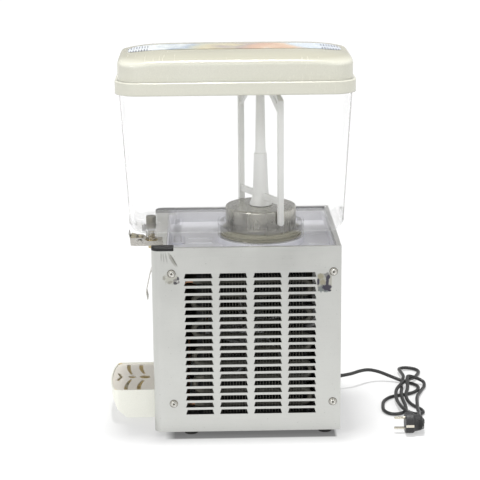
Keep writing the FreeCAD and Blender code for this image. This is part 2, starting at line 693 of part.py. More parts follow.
def condenser_fins():
    z0 = CONDENSER_FIRST - CONDENSER_PITCH / 2
    z1 = z0 + CONDENSER_ROWS * CONDENSER_PITCH
    start = CONDENSER_Y[0] + CONDENSER_PITCH / 2 + 3
    end = CONDENSER_Y[1] - CONDENSER_PITCH / 2 - 3
    x = (CONDENSER_X[0] + CONDENSER_X[1]) / 2
    border = outline(rectangle(CONDENSER_X[0], CONDENSER_X[1], z0, z1), lambda a, b: Vector(a, start, b))
    wires = [border]
    for row in range(CONDENSER_ROWS):
        centre = Vector(x, start, CONDENSER_FIRST + row * CONDENSER_PITCH)
        wires.append(Part.Wire(Part.makeCircle(CONDENSER_TUBE + FIN_GAP, centre, BACK)))
    face = Part.Face(border)
    for hole in wires[1:]:
        face = face.cut(Part.Face(hole))
    fin = face.extrude(Vector(0, FIN_THICKNESS, 0))
    step = (end - start) / (FIN_COUNT - 1)
    fins = []
    for i in range(FIN_COUNT):
        copy = fin.copy()
        copy.translate(Vector(0, i * step, 0))
        fins.append(copy)
    return group(fins)


FAN_AT = (10.0, 165.0)
FAN_RADIUS = 82.0
SHROUD_X = (92.0, 94.0)
FAN_X = (68.0, 90.0)
FAN_MOTOR_X = (14.0, 64.0)
FAN_MOTOR_RADIUS = 30.0
FAN_HUB_RADIUS = 22.0
SHROUD_HALF = 96.0
SHROUD_TOP = RIM_HEIGHT - 51.0


def fan_shroud():
    y, z = FAN_AT
    half_y = SHROUD_HALF
    plate = side_slab(rectangle(y - half_y, y + half_y, BASE_PLATE_TOP, SHROUD_TOP, 4), *SHROUD_X)
    mouth = rod(FAN_RADIUS + 7, Vector(FAN_X[0], y, z), RIGHT, SHROUD_X[1] - FAN_X[0])
    hole = rod(FAN_RADIUS + 5, Vector(FAN_X[0] - 1, y, z), RIGHT, 60)
    sides = []
    for edge in (y - half_y, y + half_y - 2):
        sides.append(box(SHROUD_X[0], CONDENSER_X[0], edge, edge + 2, BASE_PLATE_TOP, SHROUD_TOP))
    return fused([plate, mouth] + sides).cut(hole)


def fan_motor():
    y, z = FAN_AT
    can = rod(FAN_MOTOR_RADIUS, Vector(FAN_MOTOR_X[0], y, z), RIGHT, FAN_MOTOR_X[1] - FAN_MOTOR_X[0])
    can = can.makeFillet(6, [edge for edge in can.Edges if edge.Curve.TypeId == "Part::GeomCircle"])
    shaft = rod(SHAFT_RADIUS, Vector(FAN_MOTOR_X[1], y, z), RIGHT, FAN_X[1] - FAN_MOTOR_X[1] + 4)
    return fused([can, shaft])


def fan_bracket():
    y, z = FAN_AT
    x = (FAN_MOTOR_X[0] + FAN_MOTOR_X[1]) / 2
    r = FAN_MOTOR_RADIUS
    clamp = rod(r + 3, Vector(x - 8, y, z), RIGHT, 16).cut(rod(r, Vector(x - 9, y, z), RIGHT, 18))
    leg = box(x - 8, x + 8, y - 3, y + 3, BASE_PLATE_TOP, z - r - 1)
    foot = box(x - 20, x + 20, y - 20, y + 20, BASE_PLATE_TOP, BASE_PLATE_TOP + 2)
    return fused([clamp, leg, foot])


BLADE_COUNT = 5
BLADE_PITCH = 30.0


def fan_blade():
    y, z = FAN_AT
    x = (FAN_X[0] + FAN_X[1]) / 2
    hub = rod(FAN_HUB_RADIUS, Vector(FAN_X[0], y, z), RIGHT, FAN_X[1] - FAN_X[0])
    blades = []
    for i in range(BLADE_COUNT):
        blade = box(x - 1, x + 1, y - 26, y + 26, z + FAN_HUB_RADIUS - 4, z + FAN_RADIUS + 5)
        blade.rotate(Vector(x, y, z), UP, BLADE_PITCH)
        blade.rotate(Vector(x, y, z), RIGHT, i * 360.0 / BLADE_COUNT)
        blades.append(blade)
    sweep = rod(FAN_RADIUS, Vector(FAN_X[0], y, z), RIGHT, FAN_X[1] - FAN_X[0])
    wheel = fused([hub] + [blade.common(sweep) for blade in blades])
    return wheel.cut(rod(SHAFT_RADIUS + RUNNING, Vector(FAN_X[0] - 1, y, z), RIGHT, 60))


DRIER_AT = (-108.0, -70.0)
DRIER_Z = (130.0, 240.0)
DRIER_RADIUS = 10.0
PIPE_OVER_COMPRESSOR = 27.0
RISER_X = -22.0
PIPE_RADIUS = 3.0
RISER_INSIDE_DRUM = 19.5
RISER_REACH = DRUM_RADIUS - RISER_INSIDE_DRUM


def filter_drier():
    x, y = DRIER_AT
    z0, z1 = DRIER_Z
    profile = [(0, z0, 0), (PIPE_RADIUS + 1, z0, 0), (PIPE_RADIUS + 1, z0 + 8, 0), (DRIER_RADIUS, z0 + 20, 3),
               (DRIER_RADIUS, z1 - 20, 3), (PIPE_RADIUS + 1, z1 - 8, 0), (PIPE_RADIUS + 1, z1, 0), (0, z1, 0)]
    return turned(profile, x, y)


def drier_clip():
    x, y = DRIER_AT
    z = sum(DRIER_Z) / 2
    band = ring(DRIER_RADIUS + 1.5, DRIER_RADIUS, x, y, z - 5, z + 5)
    arm = box(-SIDE + SHEET, x - DRIER_RADIUS - 0.5, y - 4, y + 4, z - 5, z + 5)
    return fused([band, arm])


def refrigerant_pipes():
    """Hot gas pipe to the condenser, liquid pipe to the drier, capillary and suction pipe."""
    cx, cy = COMPRESSOR_AT
    tube_x = (CONDENSER_X[0] + CONDENSER_X[1]) / 2
    top_row = CONDENSER_FIRST + (CONDENSER_ROWS - 1) * CONDENSER_PITCH
    top_y = CONDENSER_Y[1] if CONDENSER_ROWS % 2 == 1 else CONDENSER_Y[0]
    bottom_y = CONDENSER_Y[0]
    side_y = bottom_y - 12
    drier_x, drier_y = DRIER_AT
    crown = COMPRESSOR_Z[1] - 6
    over = COMPRESSOR_Z[1] + PIPE_OVER_COMPRESSOR
    hot = [(cx, cy, crown), (cx, cy, over - 1), (cx, side_y - 6, over - 1), (tube_x, side_y - 6, over - 1),
           (tube_x, side_y - 6, top_row), (tube_x, top_y, top_row)]
    liquid = [(tube_x, bottom_y, CONDENSER_FIRST), (tube_x, side_y, CONDENSER_FIRST),
              (drier_x, side_y, CONDENSER_FIRST), (drier_x, side_y, DRIER_Z[0] - 30),
              (drier_x, drier_y, DRIER_Z[0] - 30), (drier_x, drier_y, DRIER_Z[0])]
    riser_top = FLANGE_TOP + 8
    feed_y = DRUM_BEHIND_MIDDLE - RISER_REACH
    feed_z = PAN_FLOOR - 49
    feed = [(drier_x, drier_y, DRIER_Z[1]), (drier_x, drier_y, feed_z), (RISER_X, drier_y, feed_z),
            (RISER_X, feed_y, feed_z), (RISER_X, feed_y, riser_top)]
    back_y = DRUM_BEHIND_MIDDLE + RISER_REACH
    suction = [(cx - 30, cy - 10, crown), (cx - 30, cy - 10, over), (cx - 30, cy + 34, over),
               (RISER_X, cy + 34, over), (RISER_X, back_y, PAN_FLOOR - 77), (RISER_X, back_y, riser_top)]
    pipes = [tube_along(points, PIPE_RADIUS, [9] * (len(points) - 2))[0]
             for points in (hot, liquid, feed, suction)]
    shell = compressor()
    return group([pipe.cut(shell) for pipe in pipes])


# ---- electrics ----

def switch_frames():
    frames = []
    y0 = REAR
    for x, z in ROCKER_AT:
        hx, hz = ROCKER_HALF
        rim = rectangle(x - hx - 2, x + hx + 2, z - hz - 2, z + hz + 2, 2)
        bezel = front_slab(rim, y0, y0 + BEZEL_HEIGHT)
        shell = box(x - hx, x + hx, y0 - 18, y0, z - hz, z + hz)
        pocket = box(x - hx + 2, x + hx - 2, y0 - 10, y0 + 3, z - hz + 2, z + hz - 2)
        pins = [rod(ROCKER_PIN, Vector(x - hx + 1.2, y0 - ROCKER_SUNK, z), RIGHT, 2 * hx - 2.4)]
        frames.append(fused([bezel, shell]).cut(pocket).cut(group(pins)))
    return group(frames)


ROCKER_PIN = 1.5
ROCKER_TILT = 8.0


def rocker(index):
    """A rocker cap with its two pivot stubs, tipped to its off side about a level pin."""
    x, z = ROCKER_AT[index]
    hx = ROCKER_HALF[0] - 2 - GAP
    hz = ROCKER_HALF[1] - 2.4 - GAP
    y0 = REAR - ROCKER_SUNK
    points = [(y0 - 5, z - hz + 4, 1), (y0 + 4.5, z - hz, 1), (y0 + 3.0, z, 8), (y0 + 4.5, z + hz, 1),
              (y0 - 5, z + hz - 4, 1)]
    cap = side_slab(points, x - hx, x + hx)
    stub = rod(ROCKER_PIN - RUNNING, Vector(x - hx - 1, y0, z), RIGHT, 2 * hx + 2)
    whole = fused([cap, stub])
    whole.rotate(Vector(x, y0, z), RIGHT, -ROCKER_TILT)
    return whole


def thermostat():
    x, z = KNOB_AT
    y1 = REAR - SHEET
    body = box(x - 22, x + 22, y1 - 34, y1 - 4, z - 18, z + 18)
    neck = rod(7, Vector(x, y1 - 5, z), BACK, 5)
    bore = rod(3.0 + RUNNING, Vector(x, y1 - 20, z), BACK, 30)
    return fused([body, neck]).cut(bore)


KNOB_RADIUS = 15.0
KNOB_HEIGHT = 1.6
KNOB_SLOT = (9.0, 1.5)
KNOB_SLOT_DEPTH = 1.0


def thermostat_knob():
    x, z = KNOB_AT
    y0 = REAR + GAP
    disc = Part.makeCone(KNOB_RADIUS, KNOB_RADIUS - 0.6, KNOB_HEIGHT, Vector(x, y0, z), BACK)
    face = y0 + KNOB_HEIGHT
    coin_slot = box(x - KNOB_SLOT[1], x + KNOB_SLOT[1], face - KNOB_SLOT_DEPTH, face + 1,
                    z - KNOB_SLOT[0], z + KNOB_SLOT[0])
    pointer = box(x - 0.6, x + 0.6, face - KNOB_SLOT_DEPTH / 2, face + 1,
                  z + KNOB_RADIUS - 4, z + KNOB_RADIUS)
    shaft = rod(3.0, Vector(x, y0 - 18, z), BACK, 18)
    return fused([disc.cut(coin_slot).cut(pointer), shaft])


TERMINAL_AT = (-40.0, 120.0)


def terminal_block():
    x, y = TERMINAL_AT
    y1 = REAR - SHEET
    z = 236.0
    body = box(x - 32, x + 32, y1 - 16, y1, z, z + 22)
    cuts = [rod(3.2, Vector(x - 24 + i * 12, y1 - 17, z + 11), BACK, 8) for i in range(5)]
    return body.cut(group(cuts))


GLAND_HOLE = 7.0


def cord_gland():
    x, z = GLAND
    nut = Part.makeCylinder(9.5, 3, Vector(x, REAR, z), BACK)
    body = rod(GLAND_HOLE - 0.1, Vector(x, REAR - SHEET, z), BACK, SHEET)
    inner = Part.makeCylinder(9.5, 4, Vector(x, REAR - SHEET - 4, z), BACK)
    boot = Part.makeCone(6.5, CORD_DIAMETER / 2 + 1.2, BOOT_LENGTH - 3, Vector(x, REAR + 3, z), BACK)
    return fused([nut, body, inner, boot])


# ---- tank ----

def tank_section(z, inset):
    """The tank's level outline at height z, moved inward by inset."""
    share = (z - TANK_FLOOR) / (TANK_TOP - TANK_FLOOR)
    half_x = TANK_BOTTOM_HALF[0] + (TANK_TOP_HALF[0] - TANK_BOTTOM_HALF[0]) * share - inset
    half_y = TANK_BOTTOM_HALF[1] + (TANK_TOP_HALF[1] - TANK_BOTTOM_HALF[1]) * share - inset
    corner = TANK_BOTTOM_CORNER + (TANK_TOP_CORNER - TANK_BOTTOM_CORNER) * share - inset
    y = TANK_BEHIND_MIDDLE
    points = rectangle(-half_x, half_x, y - half_y, y + half_y, corner)
    return outline(points, lambda a, b: Vector(a, b, z))


def tank_form(z0, z1, inset, edge_radius):
    form = Part.makeLoft([tank_section(z0, inset), tank_section(z1, inset)], True, True)
    rim = [edge for edge in form.Edges if edge.BoundBox.ZMax < z0 + 0.01]
    return form.makeFillet(edge_radius, rim)


WELL_WALL = 3.5
SLEEVE_RADIUS = 8.0
SLEEVE_BOTTOM = TANK_FLOOR - 24.0
EAR_INNER = LEVER_INNER_HALF + LEVER_SHEET + 0.8
TANK_FOOT_HALF = 22.0


def tank():
    tap_y = TAP_BEHIND_MIDDLE
    drum_y = DRUM_BEHIND_MIDDLE
    outer = tank_form(TANK_FLOOR, TANK_TOP, 0, TANK_EDGE_RADIUS)
    well = rod(WELL_RADIUS + WELL_WALL, Vector(0, tap_y, VALVE_SEAT - WELL_WALL), UP, 24)
    sleeve = rod(SLEEVE_RADIUS, Vector(0, tap_y, SLEEVE_BOTTOM), UP, 8)
    collar = ring(SEAT_RADIUS, COLLAR_INNER, 0, drum_y, SEAT_TOP + TANK_LIFT_GAP, TANK_FLOOR + 1)
    foot_bottom = PAN_FLOOR + PAD_HEIGHT + TANK_LIFT_GAP
    foot = box(-TANK_FOOT_HALF, TANK_FOOT_HALF, PAD_Y[0] + 4, PAD_Y[1] - 4, foot_bottom, TANK_FLOOR + 1)
    foot_void = box(-TANK_FOOT_HALF + 2.5, TANK_FOOT_HALF - 2.5, PAD_Y[0] + 6.5, PAD_Y[1] - 6.5,
                    foot_bottom - 1, TANK_FLOOR)
    ears = []
    for x0 in (EAR_INNER, -EAR_INNER - EAR_THICKNESS):
        points = [(PIVOT_Y - 9, PIVOT_HEIGHT - 7, 6), (PIVOT_Y + 8, PIVOT_HEIGHT - 7, 6),
                  (PIVOT_Y + 14, TANK_INSIDE + 2, 0), (PIVOT_Y - 9, TANK_INSIDE + 12, 0)]
        ears.append(side_slab(points, x0, x0 + EAR_THICKNESS))
    solid = fused([outer, well, sleeve, collar, foot.cut(foot_void)] + ears)
    cuts = [tank_form(TANK_INSIDE, TANK_TOP + 1, TANK_WALL, TANK_EDGE_RADIUS - TANK_WALL),
            rod(WELL_RADIUS, Vector(0, tap_y, VALVE_SEAT), UP, 40),
            rod(VALVE_TUBE_RADIUS + GAP, Vector(0, tap_y, SLEEVE_BOTTOM - 1), UP, 30),
            rod(DRUM_HOLE_RADIUS, Vector(0, drum_y, TANK_FLOOR - 1), UP, 10),
            rod(PIVOT_RADIUS, Vector(-EAR_INNER - 10, PIVOT_Y, PIVOT_HEIGHT), RIGHT, 2 * EAR_INNER + 20)]
    for cut in cuts:
        solid = solid.cut(cut)
    return solid


def lever_pin():
    half = EAR_INNER + EAR_THICKNESS
    shank = rod(PIVOT_RADIUS, Vector(-half, PIVOT_Y, PIVOT_HEIGHT), RIGHT, 2 * half)
    heads = []
    for x in (-half - 1.5, half):
        heads.append(rod(PIVOT_RADIUS + 1.5, Vector(x, PIVOT_Y, PIVOT_HEIGHT), RIGHT, 1.5))
    return fused([shank] + heads)


# ---- tap ----

def valve_tube():
    y = TAP_BEHIND_MIDDLE
    top = VALVE_SEAT + 2 * O_RING + 6
    collar_bottom = COLLAR_TOP - COLLAR_THICKNESS
    bar = rod(VALVE_TUBE_RADIUS, Vector(0, y, SPOUT_BOTTOM), UP, top - SPOUT_BOTTOM)
    bar = bar.makeChamfer(0.6, [edge for edge in bar.Edges if edge.BoundBox.ZMax < SPOUT_BOTTOM + 0.01])
    collar = rod(COLLAR_RADIUS, Vector(0, y, collar_bottom), UP, COLLAR_THICKNESS)
    rims = [edge for edge in collar.Edges if edge.Curve.TypeId == "Part::GeomCircle"]
    collar = collar.makeFillet(0.8, rims)
    bore = rod(VALVE_BORE_RADIUS, Vector(0, y, SPOUT_BOTTOM - 1), UP, top - SPOUT_BOTTOM - 1)
    port_z = VALVE_SEAT - WELL_WALL + 1.4
    ports = [rod(2.0, Vector(-10, y, port_z - 2), RIGHT, 20),
             rod(2.0, Vector(0, y - 10, port_z - 2), BACK, 20)]
    return fused([bar, collar]).cut(group([bore])).cut(fused(ports))


O_RING = 1.0


def valve_seal():
    radius = VALVE_TUBE_RADIUS + O_RING
    return Part.makeTorus(radius, O_RING, Vector(0, TAP_BEHIND_MIDDLE, VALVE_SEAT + O_RING + 0.3))


def valve_cap():
    y = TAP_BEHIND_MIDDLE
    bottom = VALVE_SEAT + 2 * O_RING + 0.3
    socket_top = VALVE_SEAT + 2 * O_RING + 6
    r = VALVE_CAP_RADIUS
    middle = bottom + 10.5
    profile = [(0, socket_top, 0), (VALVE_TUBE_RADIUS, socket_top, 0), (VALVE_TUBE_RADIUS, bottom, 0),
               (r, bottom, 0.8), (r, middle, 0), (r - 0.6, middle + 0.5, 0), (r - 0.6, middle + 1.7, 0),
               (r, middle + 2.2, 0), (r, VALVE_CAP_TOP, 1.2), (0, VALVE_CAP_TOP, 0)]
    return turned(profile, 0, y)


def valve_spring():
    bottom = COLLAR_TOP + SPRING_WIRE / 2 + GAP / 2
    top = VALVE_SEAT - WELL_WALL - SPRING_WIRE / 2 - GAP / 2
    pitch = (top - bottom) / SPRING_TURNS
    path = Part.makeHelix(pitch, top - bottom, SPRING_RADIUS)
    section = Part.Wire(Part.makeCircle(SPRING_WIRE / 2, Vector(SPRING_RADIUS, 0, 0), BACK))
    coil = Part.Wire(path.Edges).makePipeShell([section], True, True)
    coil.translate(Vector(0, TAP_BEHIND_MIDDLE, bottom))
    return coil


def bent_strip(points, bend, thickness, x0, x1):
    """A bent sheet strip: its centre line in the side view, given a thickness and a width."""
    left = []
    right = []
    last = len(points) - 1
    for i, (y, z) in enumerate(points):
        before = points[max(i - 1, 0)]
        after = points[min(i + 1, last)]
        run_in = Vector(y - before[0], z - before[1], 0)
        run_out = Vector(after[0] - y, after[1] - z, 0)
        if i == 0:
            run_in = run_out
        if i == last:
            run_out = run_in
        run_in.normalize()
        run_out.normalize()
        normal = Vector(-run_in.y - run_out.y, run_in.x + run_out.x, 0).normalize()
        spread = thickness / 2 / normal.dot(Vector(-run_in.y, run_in.x, 0))
        side = run_in.x * run_out.y - run_in.y * run_out.x
        inner = bend - thickness / 2
        outer = bend + thickness / 2
        corner = (0, 0) if i in (0, last) else ((inner, outer) if side > 0 else (outer, inner))
        left.append((y + normal.x * spread, z + normal.y * spread, corner[0]))
        right.append((y - normal.x * spread, z - normal.y * spread, corner[1]))
    return side_slab(left + right[::-1], x0, x1)


LEG_Y = PIVOT_Y + 40.0
LEG_SHEET = 1.5
LIFT_PIN_RADIUS = 2.0


def tap_lever():
    """Bent stainless lever: two arms, a finger plate in front and a cup plate behind the spout."""
    inner = LEVER_INNER_HALF
    outer = inner + LEVER_SHEET
    low = PIVOT_HEIGHT - 7
    high = low + LEVER_ARM_HEIGHT
    nose = PIVOT_Y - 15.5
    points = [(nose, low, 0), (nose - 1.6, high + 6, 1), (PIVOT_Y - 6, PIVOT_HEIGHT + 7, 4),
              (PIVOT_Y + 6, PIVOT_HEIGHT + 6, 4), (PIVOT_Y + 14, high, 3), (LEG_Y, high, 1), (LEG_Y, low, 3),
              (PIVOT_Y + 6, low - 1, 3), (PIVOT_Y - 6, low - 1, 3)]
    arms = [side_slab(points, inner, outer), side_slab(points, -outer, -inner)]
    pins = []
    pin_z = COLLAR_TOP - COLLAR_THICKNESS - GAP - LIFT_PIN_RADIUS
    for x0 in (inner, -inner - 1):
        start = Vector(-outer if x0 < 0 else VALVE_TUBE_RADIUS + 2, TAP_BEHIND_MIDDLE, pin_z)
        pins.append(rod(LIFT_PIN_RADIUS, start, RIGHT, outer - VALVE_TUBE_RADIUS - 2))
    finger = bent_strip([(nose, low), (nose - 0.9, low + 12), (nose - 3.5, high + 14)], 30, LEG_SHEET,
                        -outer, outer)
    tip = PIVOT_HEIGHT - LEVER_LEG_LENGTH
    leg = bent_strip([(LEG_Y - 1, high), (LEG_Y + 0.5, low - 12), (PIVOT_Y + 17.5, tip + 50),
                      (PIVOT_Y + 9.5, tip + 14), (PIVOT_Y + 12, tip)], 14, LEG_SHEET, -outer, outer)
    lever = fused(arms + pins + [finger, leg])
    window = side_slab(rectangle(LEG_Y - 8, LEG_Y + 8, low - 6, high + 2, 2), -8, 8)
    hole = rod(PIVOT_RADIUS + RUNNING, Vector(-outer - 1, PIVOT_Y, PIVOT_HEIGHT), RIGHT, 2 * outer + 2)
    return lever.cut(hole).cut(window)


SPACER_RADIUS = 5.0


def lever_spacer():
    half = LEVER_INNER_HALF
    bar = rod(SPACER_RADIUS, Vector(-half, PIVOT_Y, PIVOT_HEIGHT), RIGHT, 2 * half)
    return bar.cut(rod(PIVOT_RADIUS + RUNNING, Vector(-half - 1, PIVOT_Y, PIVOT_HEIGHT), RIGHT, 2 * half + 2))


def lever_pad():
    nose = PIVOT_Y - 15.5
    low = PIVOT_HEIGHT - 5
    points = [(nose + LEG_SHEET / 2 + 0.1, low, 1), (nose + 9.3, low + 1, 2), (nose + 9.3, low + 13, 3),
              (nose + LEG_SHEET / 2 - 0.7, low + 15.5, 1)]
    return side_slab(points, -LEVER_INNER_HALF + 0.2, LEVER_INNER_HALF - 0.2)


# ---- paddle ----

def paddle():
    y = DRUM_BEHIND_MIDDLE
    bottom = DRUM_TOP + 0.6
    profile = [(SPINDLE_RADIUS + RUNNING, DRUM_TOP + 6, 0), (MAGNET_OUTER, DRUM_TOP + 6, 0),
               (MAGNET_OUTER, bottom, 0), (20, bottom, 0.6), (19.2, bottom + 4, 3), (14.6, DRUM_TOP + 17, 16),
               (13.4, DRUM_TOP + 40, 0), (11.6, DRUM_TOP + HUB_STEP_RISE, 0.8),
               (9.3, DRUM_TOP + HUB_STEP_RISE + 1, 0.8), (7.3, PADDLE_TOP - 1, 0),
               (0, PADDLE_TOP - 1, 0), (0, DRUM_TOP + SPINDLE_HEIGHT + 1, 0),
               (SPINDLE_RADIUS + RUNNING, DRUM_TOP + SPINDLE_HEIGHT + 1, 0)]
    hub = turned(profile, 0, y)
    reach = PADDLE_REACH + ARM_DEPTH / 2
    near = reach - ARM_DEPTH
    low = PADDLE_TOP - BAR_HEIGHT - 1
    pieces = []
    for side in (-1, 1):
        arm = side_slab([(-ARM_WIDTH / 2, PADDLE_BOTTOM, 4.8), (ARM_WIDTH / 2, PADDLE_BOTTOM, 4.8),
                         (ARM_WIDTH / 2, low + 2, 0), (-ARM_WIDTH / 2, low + 2, 0)],
                        side * near, side * reach)
        brace = front_slab([(side * near, PADDLE_TOP - 42, 0), (side * near, PADDLE_TOP - 30, 0),
                            (side * (near - 19), PADDLE_TOP - 11, 0),
                            (side * (near - 31), PADDLE_TOP - 11, 0)],
                           -3, 3)
        lower = box(min(side * 8, side * (near + 1)), max(side * 8, side * (near + 1)), -2.5, 2.5,
                    LOWER_BAR_HEIGHT - BAR_HEIGHT / 2, LOWER_BAR_HEIGHT + BAR_HEIGHT / 2)
        pieces += [arm, brace, lower]
    top = front_slab([(-near - 1, low - 10, 0), (9 - near, low, 0), (near - 9, low, 0),
                      (near + 1, low - 10, 0), (near + 1, PADDLE_TOP, 0), (-near - 1, PADDLE_TOP, 0)], -4, 4)
    shoulder = PADDLE_TOP - PADDLE_SHOULDER
    corners = [front_slab([(side * (reach + 1), shoulder - 1, 0), (side * (reach + 1), PADDLE_TOP + 1, 0),
                           (side * (reach - PADDLE_SHOULDER - 1), PADDLE_TOP + 1, 0)], -6, 6)
               for side in (-1, 1)]
    frame = fused(pieces + [top]).cut(group(corners))
    frame.rotate(Vector(0, 0, 0), UP, 90 - PADDLE_TURN)
    frame.translate(Vector(0, y, 0))
    inside = rod(6, Vector(0, y, DRUM_TOP), UP, 40)
    return fused([hub, frame.cut(inside)])


MAGNET_OUTER = 16.0


def paddle_magnet():
    y = DRUM_BEHIND_MIDDLE
    return ring(MAGNET_OUTER - 0.1, SPINDLE_RADIUS + 1, 0, y, DRUM_TOP + 1.2, DRUM_TOP + 6)


# ---- lid ----

CROWN_SAG = 9.5
CROWN_POWER = (4, 6)
CROWN_SPAN = (LID_BODY_HALF[0] - 5.2, LID_BODY_HALF[1] - 3.8)
CROWN_STEPS = (12, 20)
LID_EDGE_RADIUS = 9.0


def lid_outline(half_x, half_y, corner):
    return [(x, y + TANK_BEHIND_MIDDLE, corner) for x, y, _ in rectangle(-half_x, half_x, -half_y, half_y)]


def crown_block(rise):
    """A block under the crown's pillow-shaped surface, moved up by rise."""
    rows = []
    reach_x = LID_SKIRT_HALF[0] + 6
    reach_y = LID_SKIRT_HALF[1] + 6
    for i in range(CROWN_STEPS[0] + 1):
        x = -reach_x + 2 * reach_x * i / CROWN_STEPS[0]
        row = []
        for j in range(CROWN_STEPS[1] + 1):
            y = -reach_y + 2 * reach_y * j / CROWN_STEPS[1]
            away = (x / CROWN_SPAN[0]) ** CROWN_POWER[0] + (y / CROWN_SPAN[1]) ** CROWN_POWER[1]
            row.append(Vector(x, y + TANK_BEHIND_MIDDLE, LID_CROWN + rise - CROWN_SAG * away))
        rows.append(row)
    surface = Part.BSplineSurface()
    surface.interpolate(rows)
    return surface.toShape().extrude(Vector(0, 0, -(LID_CROWN - LID_SKIRT_BOTTOM + CROWN_SAG)))


def lid_dome(inset, bottom):
    """The lid's body under its crown, moved inward and down by inset."""
    half_x, half_y = LID_BODY_HALF
    body = slab(lid_outline(half_x - inset, half_y - inset, LID_CORNER - 4 - inset), bottom, LID_CROWN + 5)
    body = body.common(crown_block(-inset))
    rim = []
    for edge in body.Edges:
        if edge.BoundBox.ZMin > LID_SHOULDER - CROWN_SAG and edge.BoundBox.ZLength < CROWN_SAG:
            rim.append(edge)
    return body.makeFillet(LID_EDGE_RADIUS - inset, rim)


def lid_shell():
    half_x, half_y = LID_SKIRT_HALF
    skirt = slab(lid_outline(half_x, half_y, LID_CORNER), LID_SKIRT_BOTTOM, LID_SKIRT_TOP)
    skirt = skirt.makeFillet(2.0, [edge for edge in skirt.Edges if edge.BoundBox.ZMin > LID_SKIRT_TOP - 0.01])
    hollow = slab(lid_outline(half_x - LID_WALL, half_y - LID_WALL, LID_CORNER - LID_WALL),
                  LID_SKIRT_BOTTOM - 1, LID_SKIRT_TOP - LID_WALL)
    inside = lid_dome(LID_WALL, LID_SKIRT_TOP - LID_WALL - 1)
    return skirt.fuse(lid_dome(0, LID_SKIRT_TOP - 1)).cut(hollow).cut(inside)


def over_crown(half_x, half_y, low, high):
    """A slice of the crown's shape between two heights over it, inside a rounded window."""
    window = slab(lid_outline(half_x, half_y, COVER_CORNER), LID_SHOULDER - CROWN_SAG, LID_CROWN + 30)
    return window.common(crown_block(high)).cut(crown_block(low))


def lid_cover():
    base = PICTURE_THICKNESS + 0.4
    return over_crown(COVER_HALF[0], COVER_HALF[1], base, base + COVER_THICKNESS)


def lid_picture():
    return over_crown(COVER_HALF[0] - 4, COVER_HALF[1] - 4, 0.2, 0.2 + PICTURE_THICKNESS)


# ---- drip tray ----

def tray_plan(inset, y_rear):
    """The tray from above: straight sides, a bowed front."""
    half = TRAY_HALF_WIDTH - inset
    front = TRAY_FRONT + inset
    corner = Vector(half, front + TRAY_BOW, 0)
    edges = [Part.Arc(Vector(-half, front + TRAY_BOW, 0), Vector(0, front, 0), corner).toShape(),
             Part.LineSegment(corner, Vector(half, y_rear, 0)).toShape(),
             Part.LineSegment(Vector(half, y_rear, 0), Vector(-half, y_rear, 0)).toShape(),
             Part.LineSegment(Vector(-half, y_rear, 0), Vector(-half, front + TRAY_BOW, 0)).toShape()]
    prism = Part.Face(Part.Wire(edges)).extrude(Vector(0, 0, TRAY_TOP + 20))
    upright = []
    for edge in prism.Edges:
        box_of = edge.BoundBox
        if box_of.ZLength > TRAY_TOP and box_of.YMax < front + TRAY_BOW + 1:
            upright.append(edge)
    return prism.makeFillet(14.0 - inset, upright)


def tray_form(inset, floor, top):
    """The tray's outer or inner form: the bowed plan cut to the kneed side view."""
    rear = FRONT_PANEL - GAP - inset
    front = TRAY_FRONT + inset
    slant = inset * 0.35
    points = [(front, top, 0), (front + TRAY_KNEE_BACK, TRAY_KNEE_HEIGHT + slant, 10),
              (front + TRAY_FLOOR_BACK - slant, floor, 8), (rear, floor, 0), (rear, top, 0)]
    return tray_plan(inset, rear).common(side_slab(points, -TRAY_HALF_WIDTH - 1, TRAY_HALF_WIDTH + 1))


LEDGE = 2.2


def drip_tray():
    outer = tray_form(0, TRAY_BOTTOM, TRAY_TOP)
    deep = tray_form(TRAY_WALL + LEDGE, TRAY_BOTTOM + TRAY_WALL, TRAY_TOP + 1)
    seat_z = TRAY_TOP - GRID_DROP - GRID_THICKNESS
    upper = tray_plan(TRAY_WALL, FRONT_PANEL - GAP - TRAY_WALL)
    upper = upper.common(box(-BASE_WIDTH, BASE_WIDTH, -BASE_LENGTH, 0, seat_z, TRAY_TOP + 1))
    tray = outer.cut(deep).cut(upper)
    return fused([tray] + tray_tabs(0))


SLOT_REACH = (34.0, 68.0)
SLOT_BACK_SWEEP = (4.8, 6.8)
SLOT_FRONT_SWEEP = (6.4, 8.8)
SLOT_ROWS = [(13.0, TRAY_FRONT + 40.0, 4.6, 7.1), (16.0, TRAY_FRONT + 63.5, 5.2, 9.8)]
ARROW_TIP = TRAY_FRONT + 21.4


def curved_slot(inner_x, y, width, side, z):
    """A slot that sweeps forward from near the middle line out to the side."""
    def at(x, back):
        return Vector(side * x, y - back, z)
    middle, outer = SLOT_REACH
    back = [at(inner_x, 0), at(middle, SLOT_BACK_SWEEP[0]), at(outer, SLOT_BACK_SWEEP[1])]
    front = [at(outer, SLOT_FRONT_SWEEP[1] + width), at(middle, SLOT_FRONT_SWEEP[0] + width),
             at(inner_x, width)]
    edges = [Part.Arc(*back).toShape(), Part.LineSegment(back[2], front[0]).toShape(),
             Part.Arc(*front).toShape(), Part.LineSegment(front[2], back[0]).toShape()]
    return Part.Face(Part.Wire(edges)).extrude(Vector(0, 0, GRID_THICKNESS + 2))


